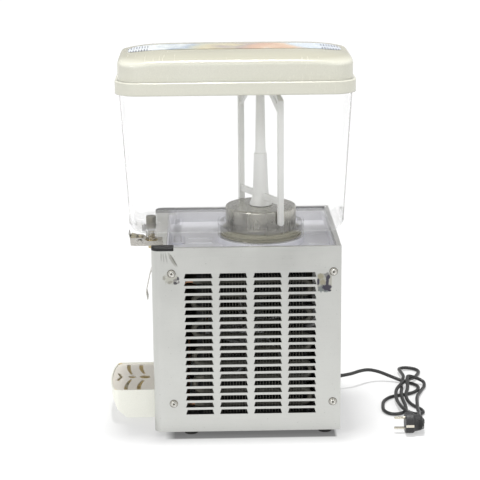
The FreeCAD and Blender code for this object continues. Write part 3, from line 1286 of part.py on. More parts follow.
def drip_grid():
    low = TRAY_TOP - GRID_DROP - GRID_THICKNESS
    inset = TRAY_WALL + GRID_GAP
    plate = tray_plan(inset, FRONT_PANEL - GAP - inset)
    plate = plate.common(box(-BASE_WIDTH, BASE_WIDTH, -BASE_LENGTH, 0, low + 0.2, TRAY_TOP - GRID_DROP))
    arrow = [(0, ARROW_TIP, 1), (21, ARROW_TIP - 6.4, 1), (18, ARROW_TIP - 11.4, 1), (0, ARROW_TIP - 5.6, 1),
             (-18, ARROW_TIP - 11.4, 1), (-21, ARROW_TIP - 6.4, 1)]
    cuts = [slab(arrow, low - 1, low + GRID_THICKNESS + 1)]
    for inner_x, y, width, hole in SLOT_ROWS:
        for side in (-1, 1):
            cuts.append(curved_slot(inner_x, y, width, side, low - 1))
        cuts.append(rod(hole, Vector(0, y - 1.2, low - 1), UP, GRID_THICKNESS + 2))
    return plate.cut(group(cuts))


# ---- cord, hank and plug ----

# Each place is (across, behind the cabinet's rear, height); the hank's corners end in a radius.
LEAD_POINTS = [(GLAND[0], BOOT_LENGTH, GLAND[1]), (-88.5, 40.0, 27.0), (-103.5, 59.0, 28.0),
               (-118.0, 77.5, 25.5), (-123.0, 98.5, 19.0), (-119.5, 117.5, 11.5), (-113.0, 134.5, 6.0)]
TAIL_POINTS = [(58.3, 148.5, 8.0), (76.0, 149.0, 9.0), (94.0, 146.5, 14.0), (112.0, 142.5, PLUG_HEIGHT)]
HANK_OUTLINE = [(-192.0, 159.5, 8.0), (-192.0, 185.0, 8.0), (-100.0, 184.5, 10.0), (-30.0, 176.0, 10.0),
                (58.0, 159.5, 2.0), (58.0, 135.5, 2.0), (76.0, 127.5, 8.0), (76.0, 99.5, 12.0),
                (40.0, 84.5, 14.0), (-6.0, 86.5, 12.0), (-52.0, 107.5, 10.0), (-105.4, 131.6, 2.0),
                (-120.6, 137.4, 2.0)]
HANK_HEIGHT = 18.0


def cord_tube(label, points):
    """A cord stretch; every bend is as wide as its two runs allow."""
    corners = [Vector(x, REAR + behind, z) for x, behind, z in points]
    radii = []
    for i in range(1, len(corners) - 1):
        back = corners[i - 1] - corners[i]
        ahead = corners[i + 1] - corners[i]
        half_turn = (math.pi - back.getAngle(ahead)) / 2
        radii.append(0.45 * min(back.Length, ahead.Length) / math.tan(half_turn))
    solid, length = tube_along(corners, CORD_DIAMETER / 2, radii)
    section = math.pi * CORD_DIAMETER ** 2 / 4
    print(label, "bend radii", [round(radius) for radius in radii], "length", round(length, 1),
          "volume ratio", round(solid.Volume / (section * length), 4))
    return solid


def cord_hank():
    return slab([(x, REAR + behind, radius) for x, behind, radius in HANK_OUTLINE], 0.3, HANK_HEIGHT)


def plug_body():
    x, y0, z = PLUG_AT
    length = 35.0
    profile = [(0, 0, 0), (PLUG_RADIUS, 0, 1.5), (PLUG_RADIUS, 14, 2), (PLUG_RADIUS - 3, 17, 3),
               (PLUG_RADIUS - 5, length - 6, 6), (0, length, 0)]
    wire = outline(profile, lambda radius, along: Vector(x + radius, y0 + along, z))
    body = Part.Face(wire).revolve(Vector(x, y0, z), BACK, 360)
    across, behind, height = TAIL_POINTS[-1]
    end = Vector(across, REAR + behind, height)
    neck = Part.makeCone(CORD_DIAMETER / 2 + 1.2, 7.5, x - end.x - 6, Vector(end.x, end.y, z), RIGHT)
    grooves = []
    for side in (-1, 1):
        grooves.append(box(x + side * (PLUG_RADIUS - 1) - 1.6, x + side * (PLUG_RADIUS - 1) + 1.6, y0 - 1,
                           y0 + 14.5, z - 2.6, z + 2.6))
    holes = [rod(PIN_RADIUS, Vector(x, y0 - 1, z + side * PIN_SPACING / 2), BACK, 11) for side in (-1, 1)]
    return fused([body, neck]).cut(group(grooves + holes))


def plug_pins():
    x, y0, z = PLUG_AT
    pins = []
    for side in (-1, 1):
        pin = rod(PIN_RADIUS, Vector(x, y0 - PIN_LENGTH, z + side * PIN_SPACING / 2), BACK, PIN_LENGTH + 9)
        tip = [edge for edge in pin.Edges if edge.BoundBox.YMax < y0 - PIN_LENGTH + 0.01]
        pins.append(pin.makeFillet(1.6, tip))
    return group(pins)


def plug_earth():
    x, y0, z = PLUG_AT
    clips = []
    for side in (-1, 1):
        mid = x + side * (PLUG_RADIUS - 1)
        clips.append(box(mid - 1.3, mid + 1.0, y0 + 0.2, y0 + 14.2, z - 2.3, z + 2.3))
    return group(clips)


PIECES = {
    "base_plate": base_plate,
    "rubber_feet": feet,
    "left_panel": side_panel,
    "right_panel": lambda: mirrored(side_panel()),
    "column_caps": lambda: group([column_cap(), mirrored(column_cap())]),
    "panel_screws": panel_screws,
    "rear_posts": rear_posts,
    "front_panel": front_panel,
    "rear_panel": rear_panel,
    "top_pan": top_pan,
    "tank_rest": tank_rest,
    "drum_seat": drum_seat,
    "evaporator_drum": evaporator_drum,
    "drum_spindle": drum_spindle,
    "drum_gasket": drum_gasket,
    "evaporator_coil": evaporator_coil,
    "stirrer_motor": stirrer_motor,
    "motor_bracket": motor_bracket,
    "drive_rotor": drive_rotor,
    "compressor": compressor,
    "compressor_mounts": compressor_mounts,
    "condenser_tubes": condenser_tubes,
    "condenser_fins": condenser_fins,
    "fan_shroud": fan_shroud,
    "fan_motor": fan_motor,
    "fan_bracket": fan_bracket,
    "fan_blade": fan_blade,
    "filter_drier": filter_drier,
    "drier_clip": drier_clip,
    "refrigerant_pipes": refrigerant_pipes,
    "switch_frames": switch_frames,
    "power_rocker": lambda: rocker(0),
    "cooling_rocker": lambda: rocker(1),
    "thermostat": thermostat,
    "thermostat_knob": thermostat_knob,
    "terminal_block": terminal_block,
    "cord_gland": cord_gland,
    "tank": tank,
    "lever_pin": lever_pin,
    "valve_tube": valve_tube,
    "valve_seal": valve_seal,
    "valve_cap": valve_cap,
    "valve_spring": valve_spring,
    "tap_lever": tap_lever,
    "lever_spacer": lever_spacer,
    "lever_pad": lever_pad,
    "paddle": paddle,
    "paddle_magnet": paddle_magnet,
    "lid_shell": lid_shell,
    "lid_cover": lid_cover,
    "lid_picture": lid_picture,
    "drip_tray": drip_tray,
    "drip_grid": drip_grid,
    "cord_lead": lambda: cord_tube("cord_lead", LEAD_POINTS),
    "cord_tail": lambda: cord_tube("cord_tail", TAIL_POINTS),
    "cord_hank": cord_hank,
    "plug_body": plug_body,
    "plug_pins": plug_pins,
    "plug_earth": plug_earth,
}

os.makedirs("parts", exist_ok=True)
for piece_name, make in PIECES.items():
    place(piece_name, make())
print("shift", SHIFT, "pieces", len(PIECES))
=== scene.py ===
import math
import bpy
import bmesh
from mathutils import Matrix, Vector


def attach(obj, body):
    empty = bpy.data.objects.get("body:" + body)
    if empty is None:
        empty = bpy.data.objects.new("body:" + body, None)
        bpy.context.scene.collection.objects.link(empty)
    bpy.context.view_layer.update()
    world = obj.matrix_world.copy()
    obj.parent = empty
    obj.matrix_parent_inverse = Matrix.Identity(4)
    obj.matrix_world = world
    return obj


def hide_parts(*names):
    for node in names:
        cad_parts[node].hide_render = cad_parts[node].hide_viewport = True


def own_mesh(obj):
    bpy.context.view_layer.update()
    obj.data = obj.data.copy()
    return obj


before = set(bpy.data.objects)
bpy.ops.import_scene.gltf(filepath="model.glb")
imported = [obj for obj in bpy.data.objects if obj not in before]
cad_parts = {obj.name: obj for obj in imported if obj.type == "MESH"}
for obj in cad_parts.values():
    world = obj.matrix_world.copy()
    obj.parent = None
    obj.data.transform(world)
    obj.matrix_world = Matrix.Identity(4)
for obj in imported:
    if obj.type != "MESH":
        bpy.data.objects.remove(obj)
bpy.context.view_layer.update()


# ---- camera ----
# It stands a little above the lid on the machine's right side and looks slightly down, through a
# long lens that keeps the edges of the cabinet nearly parallel.
CAMERA_PLACE = (2.7131, -0.03805, 1.0263)
FOCAL_LENGTH = 117.0
yaw, pitch, roll = math.radians(1.22), math.radians(14.65), math.radians(-0.48)
ahead = Vector((-math.cos(yaw) * math.cos(pitch), math.sin(yaw) * math.cos(pitch), -math.sin(pitch)))
level = Vector((math.sin(yaw), math.cos(yaw), 0.0))
upright = level.cross(ahead)
across = level * math.cos(roll) + upright * math.sin(roll)
upward = upright * math.cos(roll) - level * math.sin(roll)
lens = bpy.data.cameras.new("camera")
lens.lens = FOCAL_LENGTH
lens.sensor_width = 36.0
lens.clip_end = 60.0
camera = bpy.data.objects.new("camera", lens)
bpy.context.scene.collection.objects.link(camera)
camera.matrix_world = Matrix(
    [[across[i], upward[i], -ahead[i], CAMERA_PLACE[i]] for i in range(3)] + [[0, 0, 0, 1]])
bpy.context.scene.camera = camera


# ---- mains cord ----
# A round black rubber-sheathed lead, bundled loosely beside the machine: it leaves the boot,
# falls to the floor, makes a side loop, a far loop and a long turn, and ends in the plug.
CORD_DIAMETER = 0.0065
cord_route = [
    (-84.0, 211.75, 26.0), (-88.5, 229.75, 27.0), (-103.5, 248.75, 28.0), (-118.0, 267.25, 25.5),
    (-123.0, 288.25, 19.0), (-119.5, 307.25, 11.5), (-113.0, 324.25, 6.0), (-104.4, 337.85, 3.4),
    (-90.9, 352.35, 4.0), (-75.0, 358.25, 4.2), (-57.0, 354.25, 3.9), (-44.0, 343.25, 4.0),
    (-36.0, 330.15, 3.8), (-32.0, 315.25, 3.6), (-26.0, 301.25, 3.7), (-14.0, 290.25, 3.8),
    (2.0, 282.25, 3.9), (22.0, 279.25, 3.9), (43.9, 277.75, 4.0), (59.9, 284.15, 3.9),
    (66.4, 296.85, 4.0), (61.5, 312.65, 4.5), (48.5, 319.45, 4.8), (28.0, 320.25, 6.1),
    (4.0, 318.25, 8.3), (-18.0, 318.25, 10.4), (-40.4, 321.05, 10.2), (-58.2, 324.25, 7.4),
    (-76.2, 324.65, 6.1), (-94.2, 328.85, 9.4), (-113.5, 334.85, 11.7), (-133.9, 333.35, 11.0),
    (-151.9, 332.65, 8.8), (-170.3, 331.15, 7.1), (-180.8, 340.75, 5.6), (-183.2, 353.15, 4.6),
    (-177.1, 366.15, 3.7), (-162.4, 371.05, 3.6), (-143.4, 364.55, 4.3), (-126.0, 358.25, 5.7),
    (-111.3, 349.65, 7.9), (-96.2, 338.15, 10.8), (-76.2, 328.85, 13.1), (-58.0, 319.25, 13.7),
    (-40.0, 311.25, 11.8), (-19.8, 307.95, 9.5), (2.0, 307.25, 8.5), (24.0, 308.25, 9.3),
    (43.6, 309.85, 11.2), (61.0, 313.45, 11.6), (72.3, 324.65, 8.0), (69.1, 338.65, 4.2),
    (59.9, 349.95, 3.6), (43.5, 348.15, 3.8), (25.3, 336.65, 3.4), (8.0, 329.25, 4.6),
    (-12.0, 326.25, 6.9), (-30.0, 328.25, 9.8), (-48.0, 334.25, 11.8), (-65.8, 335.65, 14.7),
    (-82.5, 336.65, 17.4), (-102.1, 340.65, 17.7), (-104.0, 354.85, 12.9), (-98.3, 370.85, 7.2),
    (-80.1, 370.65, 4.1), (-61.8, 362.55, 3.4), (-44.0, 356.25, 4.3), (-24.0, 349.25, 5.4),
    (-2.0, 345.25, 7.4), (19.8, 342.85, 9.2), (39.8, 340.65, 11.2), (58.3, 338.25, 10.5),
    (76.0, 338.75, 11.9), (94.0, 336.25, 14.5), (112.0, 332.25, 18.8)]
cord_line = bpy.data.curves.new("mains_cord", "CURVE")
cord_line.dimensions = "3D"
run = cord_line.splines.new("NURBS")
run.points.add(len(cord_route) - 1)
for point, (x, y, z) in zip(run.points, cord_route):
    point.co = (x / 1000, y / 1000, z / 1000, 1.0)
run.order_u = 3
run.use_endpoint_u = True
run.resolution_u = 8
cord_line.bevel_depth = CORD_DIAMETER / 2
cord_line.bevel_resolution = 5
cord_line.use_fill_caps = True
cord = bpy.data.objects.new("mains_cord", cord_line)
bpy.context.scene.collection.objects.link(cord)


def node(tree, kind, inputs=(), **settings):
    """Adds a shader node. Inputs are values, or outputs of other nodes."""
    made = tree.nodes.new("ShaderNode" + kind)
    for name, value in settings.items():
        setattr(made, name, value)
    for socket, value in dict(inputs).items():
        if isinstance(value, bpy.types.NodeSocket):
            tree.links.new(value, made.inputs[socket])
        else:
            made.inputs[socket].default_value = value
    return made


def mixed(tree, factor, first, second, mode="MIX"):
    return node(tree, "Mix", {0: factor, 6: first, 7: second}, data_type="RGBA", blend_type=mode).outputs[2]


def sloped(tree, value, low, high, to_low=0.0, to_high=1.0):
    return node(tree, "MapRange", {0: value, 1: low, 2: high, 3: to_low, 4: to_high}).outputs[0]


def maths(tree, operation, *values):
    """One Math node. Its values are numbers, or outputs of other nodes."""
    return node(tree, "Math", dict(enumerate(values)), operation=operation).outputs[0]


def grey(tree, value):
    return node(tree, "CombineColor", {i: value for i in range(3)}).outputs[0]


def noise(tree, place, size, detail=3.0, stretch=None):
    if stretch:
        place = node(tree, "Mapping", {"Vector": place, "Scale": stretch}).outputs[0]
    return node(tree, "TexNoise", {"Vector": place, "Scale": size, "Detail": detail}).outputs["Fac"]


def new_group(name, inputs, outputs):
    """A node group with its two end nodes; inputs and outputs are (title, kind, value)."""
    group = bpy.data.node_groups.new(name, "ShaderNodeTree")
    for title, kind, value in inputs:
        socket = group.interface.new_socket(title, in_out="INPUT", socket_type="NodeSocket" + kind)
        socket.default_value = value
    for title, kind in outputs:
        group.interface.new_socket(title, in_out="OUTPUT", socket_type="NodeSocket" + kind)
    return group, group.nodes.new("NodeGroupInput"), group.nodes.new("NodeGroupOutput")


def close_group(group, end, results):
    for title, socket in results.items():
        group.links.new(socket, end.inputs[title])


# Moulded or painted skin: cloudy handling marks, fine grain and faint scuffs.
skin, start, end = new_group("moulded_skin", [
    ("Color", "Color", (0.5, 0.5, 0.5, 1)), ("Stain", "Color", (0.3, 0.3, 0.3, 1)),
    ("Stain Amount", "Float", 0.2), ("Grain", "Float", 900.0), ("Roughness", "Float", 0.4),
    ("Bump", "Float", 0.15)], [("Color", "Color"), ("Roughness", "Float"), ("Normal", "Vector")])
place = node(skin, "TexCoord").outputs["Object"]
cloud = noise(skin, place, 11.0, 4.0)
grain = noise(skin, place, start.outputs["Grain"], 3.0)
scuff = sloped(skin, noise(skin, place, 30.0, 5.0, (1.0, 9.0, 2.0)), 0.6, 0.72)
amount = maths(skin, "MULTIPLY", sloped(skin, cloud, 0.35, 0.7), start.outputs["Stain Amount"])
colour = mixed(skin, amount, start.outputs["Color"], start.outputs["Stain"])
colour = mixed(skin, 1.0, colour, grey(skin, sloped(skin, grain, 0.3, 0.7, 0.95, 1.04)), "MULTIPLY")
rough = maths(skin, "ADD", start.outputs["Roughness"], sloped(skin, cloud, 0.3, 0.7, -0.05, 0.07))
rough = maths(skin, "ADD", rough, sloped(skin, scuff, 0, 1, 0, 0.08))
bump = node(skin, "Bump", {"Height": grain, "Strength": start.outputs["Bump"], "Distance": 0.0004})
close_group(skin, end, {"Color": colour, "Roughness": rough, "Normal": bump.outputs[0]})


def material(name, **sockets):
    """A material whose Principled shader has these plain socket values."""
    made = bpy.data.materials.new(name)
    made.use_nodes = True
    shader = made.node_tree.nodes["Principled BSDF"]
    for title, value in sockets.items():
        shader.inputs[title.replace("_", " ")].default_value = value
    return made


def opened(made):
    """The material's node tree and its main shader."""
    return made.node_tree, made.node_tree.nodes["Principled BSDF"]


def surfaced(made, group, inputs):
    """Feeds the material's shader from a group that gives colour, roughness and normal."""
    tree, shader = opened(made)
    surface = node(tree, "Group", inputs, node_tree=group)
    for title, socket in (("Color", "Base Color"), ("Roughness", "Roughness"), ("Normal", "Normal")):
        tree.links.new(surface.outputs[title], shader.inputs[socket])
    return made


def coated(name, color, stain, stain_amount, grain, roughness, bump, **sockets):
    """A material with the moulded skin in these colours (linear red, green, blue)."""
    return surfaced(material(name, **sockets), skin, {
        "Color": (*color, 1), "Stain": (*stain, 1), "Stain Amount": stain_amount, "Grain": grain,
        "Roughness": roughness, "Bump": bump})


def dress(names, made):
    """Puts a material on one or more CAD nodes, or on a new piece."""
    for name in names.split():
        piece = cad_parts.get(name) or bpy.data.objects[name]
        piece.data.materials.clear()
        piece.data.materials.append(made)


dress("mains_cord", coated("cord_sheath", (0.018, 0.018, 0.019), (0.07, 0.07, 0.065), 0.35, 1400.0, 0.36, 0.2))
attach(cord, "base")
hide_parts("cord_lead", "cord_hank", "cord_tail")


# ---- strain relief ----
# The tapered black rubber boot that guards the lead where it leaves the rear wall: a round
# flange against the sheet, then a cone cut by ring grooves so that it bends evenly.
def piece_from(name, form):
    """A piece with this name from a finished bmesh, put into the scene."""
    mesh = bpy.data.meshes.new(name)
    form.to_mesh(mesh)
    form.free()
    piece = bpy.data.objects.new(name, mesh)
    bpy.context.scene.collection.objects.link(piece)
    return piece


def lathe(name, profile, origin, axis, steps=64):
    """A turned mesh: profile is (radius, distance) pairs, from origin along axis, all in mm."""
    form = bmesh.new()
    axis = Vector(axis).normalized()
    side = axis.orthogonal().normalized()
    other = axis.cross(side)
    rings = []
    for radius, along in profile:
        centre = Vector(origin) + axis * along
        if radius == 0:
            rings.append([form.verts.new(centre / 1000)])
            continue
        rings.append([form.verts.new((centre + (side * math.cos(a) + other * math.sin(a)) * radius) / 1000)
                      for a in (2 * math.pi * i / steps for i in range(steps))])
    for first, second in zip(rings, rings[1:]):
        for i in range(steps):
            j = (i + 1) % steps
            face = [first[i % len(first)], first[j % len(first)], second[j % len(second)], second[i % len(second)]]
            face = [v for k, v in enumerate(face) if v not in face[:k]]
            if len(face) > 2:
                form.faces.new(face)
    bmesh.ops.recalc_face_normals(form, faces=form.faces)
    piece = piece_from(name, form)
    piece.data.shade_smooth()
    return piece


BOOT_FOOT = (-84, 189.75, 26)
BOOT_GROOVES, GROOVE_PITCH, GROOVE_TAPER = 7, 2.5, 0.36
boot_profile = [(0, -8), (6.4, -8), (6.6, -7.6), (6.6, -1), (9.2, -1), (9.5, -0.6), (9.5, 2.4), (9.2, 2.9),
                (6.9, 3.1)]
for i in range(BOOT_GROOVES):
    low = 4.2 + i * GROOVE_PITCH
    wide = 6.7 - i * GROOVE_TAPER
    boot_profile += [(wide, low), (wide - 0.05, low + 1.4), (wide - 0.9, low + 1.6), (wide - 0.95, low + 2.3)]
boot_profile += [(4.0, 21.4), (3.7, 22.0), (3.3, 22.0)]
boot = lathe("strain_relief", boot_profile, BOOT_FOOT, (0, 1, 0))
boot.data.set_sharp_from_angle(angle=math.radians(35))
dress("strain_relief", coated("boot_rubber", (0.022, 0.022, 0.022), (0.09, 0.085, 0.08), 0.3, 1100.0, 0.5, 0.25))
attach(boot, "base")
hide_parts("cord_gland")


# ---- mains plug ----
# A moulded-on angled two-pin plug in black plastic, with two side earth strips, nickel-plated
# pins and raised grip ribs round the back of its body.
dress("plug_body", coated("plug_plastic", (0.016, 0.016, 0.017), (0.06, 0.06, 0.06), 0.3, 1600.0, 0.42, 0.3))


def brushed_group():
    """Fine drawn lines with a slow cloud over them, in colour, roughness and bump."""
    group, start, end = new_group("brushed_grain", [
        ("Color", "Color", (0.6, 0.6, 0.6, 1)), ("Grain", "Vector", (900, 14, 900)), ("Roughness", "Float", 0.3),
        ("Bump", "Float", 0.1)], [("Color", "Color"), ("Roughness", "Float"), ("Normal", "Vector")])
    place = node(group, "TexCoord").outputs["Object"]
    line = node(group, "VectorMath", {0: place, 1: start.outputs["Grain"]}, operation="MULTIPLY").outputs[0]
    streak = noise(group, line, 1.0, 5.0)
    cloud = noise(group, place, 14.0, 4.0)
    shade = maths(group, "MULTIPLY", sloped(group, streak, 0.3, 0.7, 0.975, 1.02),
                  sloped(group, cloud, 0.3, 0.7, 0.96, 1.03))
    colour = mixed(group, 1.0, start.outputs["Color"], grey(group, shade), "MULTIPLY")
    rough = maths(group, "ADD", start.outputs["Roughness"], sloped(group, streak, 0.3, 0.7, -0.05, 0.07))
    rough = maths(group, "ADD", rough, sloped(group, cloud, 0.3, 0.7, -0.05, 0.06))
    bump = node(group, "Bump", {"Height": streak, "Strength": start.outputs["Bump"], "Distance": 0.0002})
    close_group(group, end, {"Color": colour, "Roughness": rough, "Normal": bump.outputs[0]})
    return group


brushing = brushed_group()


def brushed(name, color, grain, roughness, bump=0.08, metallic=1.0):
    """A metal with fine lines; grain is how fast they change along x, y and z."""
    return surfaced(material(name, Metallic=metallic), brushing, {
        "Color": (*color, 1), "Grain": grain, "Roughness": roughness, "Bump": bump})


dress("plug_pins plug_earth", brushed("pin_nickel", (0.74, 0.70, 0.60), (700, 90, 700), 0.2))
GRIP_RIBS, GRIP_PITCH, GRIP_TAPER = 5, 2.3, 0.35
GRIP_START = Vector((146, 326.5, 18.8))
GRIP_REACH = 15.3
GRIP_FROM, GRIP_STEP, GRIP_STEPS = -33, 6, 12
ribs = bmesh.new()
for side in (-1, 1):
    for i in range(GRIP_RIBS):
        centre = GRIP_START + Vector((0, i * GRIP_PITCH, 0))
        reach = GRIP_REACH - i * GRIP_TAPER
        section = ((reach - 0.6, -0.8), (reach + 0.7, -0.35), (reach + 0.7, 0.35), (reach - 0.6, 0.8))
        for step in range(GRIP_STEPS):
            angle = math.radians(GRIP_FROM + step * GRIP_STEP)
            rows = []
            for a in (angle, angle + math.radians(GRIP_STEP)):
                rows.append([ribs.verts.new((centre + Vector((side * math.cos(a) * r, d, math.sin(a) * r))) / 1000)
                             for r, d in section])
            for k in range(4):
                ribs.faces.new((rows[0][k], rows[0][(k + 1) % 4], rows[1][(k + 1) % 4], rows[1][k]))
            if step in (0, GRIP_STEPS - 1):
                ribs.faces.new(rows[0] if step == 0 else rows[1])
bmesh.ops.remove_doubles(ribs, verts=ribs.verts, dist=0.00001)
bmesh.ops.recalc_face_normals(ribs, faces=ribs.faces)
grip = piece_from("plug_grip", ribs)
grip.data.materials.append(bpy.data.materials["plug_plastic"])
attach(grip, "base")


# ---- floor, surroundings and lights ----
# A plain white studio floor, a little lit from within, with a painted shadow that darkens its colour and
# glow under the cabinet, under a pale sky with soft boxes above, at both sides and in front.
FLOOR_REACH = 14
floor_mesh = bpy.data.meshes.new("floor")
floor_mesh.from_pydata([(x * FLOOR_REACH, y * FLOOR_REACH, 0) for x, y in ((-1, -1), (1, -1), (1, 1), (-1, 1))],
                       [], [(0, 1, 2, 3)])
floor = bpy.data.objects.new("floor", floor_mesh)
bpy.context.scene.collection.objects.link(floor)
floor_white = material("floor_white", Roughness=0.9, Specular_IOR_Level=0.1, Emission_Color=(1, 1, 1, 1))
tree, shader = opened(floor_white)
where = node(tree, "SeparateXYZ", {0: node(tree, "TexCoord").outputs["Object"]})
# Painted shadow: over the cabinet's footprint, and a little in front of it, the floor's colour and glow drop to 0.3.
painted_shadow_patch = 1.0
for axis, low, high in (("X", 0.161, 0.156), ("Y", -0.118, -0.100), ("Y", 0.185, 0.180), ("X", -0.152, -0.147)):
    painted_shadow_patch = maths(tree, "MULTIPLY", painted_shadow_patch, sloped(tree, where.outputs[axis], low, high))
painted_shadow_factor = sloped(tree, painted_shadow_patch, 0, 1, 1.0, 0.3)
glow = maths(tree, "MULTIPLY", sloped(tree, where.outputs["X"], -0.4, -6.4, 0.45, 0.74), painted_shadow_factor)
tree.links.new(glow, shader.inputs["Emission Strength"])
shade = maths(tree, "MULTIPLY", sloped(tree, where.outputs["X"], 0.55, 1.3, 0.43, 0.16), painted_shadow_factor)
tree.links.new(grey(tree, shade), shader.inputs["Base Color"])
floor_mesh.materials.append(floor_white)
world = bpy.data.worlds.new("studio")
bpy.context.scene.world = world
world.use_nodes = True
tree = world.node_tree
tree.nodes.clear()
seen = node(tree, "LightPath")
direct = maths(tree, "MAXIMUM", seen.outputs["Is Camera Ray"], seen.outputs["Is Transmission Ray"])
outlook = node(tree, "TexCoord").outputs["Generated"]
banks = noise(tree, outlook, 1.6, 1.0)
glow = sloped(tree, node(tree, "SeparateXYZ", {0: outlook}).outputs["Z"], -0.1, 0.9, 0.72, 0.80)
glow = maths(tree, "MULTIPLY", glow, sloped(tree, banks, 0.42, 0.6, 0.55, 1.12))
unseen = maths(tree, "MULTIPLY", maths(tree, "SUBTRACT", 1.0, direct), glow)
strength = maths(tree, "ADD", maths(tree, "MULTIPLY", direct, 1.06), unseen)
sky = node(tree, "Background", {"Color": (1, 1, 1, 1), "Strength": strength})
node(tree, "OutputWorld", {"Surface": sky.outputs[0]})
LAMPS_AIM = Vector((0, 0.02, 0.35))
for name, stand, size, power in (("softbox_top", (-0.36, 0.0, 6.0), 0.6, 280.0),
                                 ("softbox_left", (2.0, -1.9, 2.0), 0.5, 13.0),
                                 ("softbox_right", (2.0, 2.0, 2.0), 0.5, 14.0),
                                 ("softbox_front", (3.2, -0.9, 1.1), 2.0, 14.0)):
    lamp = bpy.data.lights.new(name, "AREA")
    lamp.size = size
    lamp.energy = power
    holder = bpy.data.objects.new(name, lamp)
    holder.location = stand
    holder.rotation_euler = (LAMPS_AIM - Vector(stand)).to_track_quat("-Z", "Y").to_euler()
    holder.visible_camera = False
    bpy.context.scene.collection.objects.link(holder)
bpy.context.scene.view_settings.view_transform = "Standard"
bpy.context.scene.view_settings.look = "None"


# ---- cabinet panels ----
# Satin stainless sheet, folded and riveted: two side panels with pressed louvres, a plain front
# and a rear with vents. The right side carries scuffs and the remains of two torn labels.
def painted_lip_mask(tree, where, side):
    """1 on the edges of a side panel that are folded inward, which carry painted shade, and 0 on its outer face."""
    return maths(tree, "MULTIPLY", sloped(tree, where.outputs["X"], side * 0.1440, side * 0.1435),
                 sloped(tree, where.outputs["Y"], -0.097, -0.096))


plain = brushed("panel_sheet", (0.63, 0.63, 0.61), (900, 16, 900), 0.36)
tree, shader = opened(plain)
where = node(tree, "SeparateXYZ", {0: node(tree, "TexCoord").outputs["Object"]})
# Painted shade: the far panel's inward-folded lip is near black and hardly metallic, standing in for the shadow under
# its top edge.
painted_shade_lip = painted_lip_mask(tree, where, -1)
tree.links.new(mixed(tree, painted_shade_lip, shader.inputs["Base Color"].links[0].from_socket, (0.10, 0.10, 0.10, 1)),
               shader.inputs["Base Color"])
tree.links.new(sloped(tree, painted_shade_lip, 0, 1, 1.0, 0.2), shader.inputs["Metallic"])
dress("right_panel", plain)
dress("front_panel rear_panel", brushed("panel_sheet_across", (0.63, 0.63, 0.61), (16, 900, 900), 0.36))
worn = brushed("panel_sheet_worn", (0.61, 0.615, 0.59), (900, 16, 900), 0.36, 0.03)
tree, shader = opened(worn)
place = node(tree, "TexCoord").outputs["Object"]


def spot(y, z, half_y, half_z, turn=0.0, square=False):
    """A mask on the right side, 1 in its middle and 0 at its edge: round, or square-cornered."""
    local = node(tree, "Mapping", {"Vector": place, "Location": (0.15, y / 1000, z / 1000),
                                   "Scale": (1.0, half_y / 1000, half_z / 1000),
                                   "Rotation": (math.radians(turn), 0, 0)}, vector_type="TEXTURE").outputs[0]
    if not square:
        return node(tree, "TexGradient", {"Vector": local}, gradient_type="SPHERICAL").outputs["Fac"]
    local = node(tree, "SeparateXYZ", {0: node(tree, "VectorMath", {0: local}, operation="ABSOLUTE").outputs[0]})
    return sloped(tree, maths(tree, "MAXIMUM", local.outputs["Y"], local.outputs["Z"]), 1.0, 0.0)


def united(masks):
    """One mask that is as strong as the strongest of these."""
    whole = masks[0]
    for mask in masks[1:]:
        whole = maths(tree, "MAXIMUM", whole, mask)
    return whole


def torn(mask, low, high, rag=0.3, size=300.0):
    """The mask with a ragged edge between two levels."""
    uneven = sloped(tree, noise(tree, place, size, 4.0), 0.25, 0.75, -rag, rag)
    return sloped(tree, maths(tree, "ADD", mask, uneven), low, high)


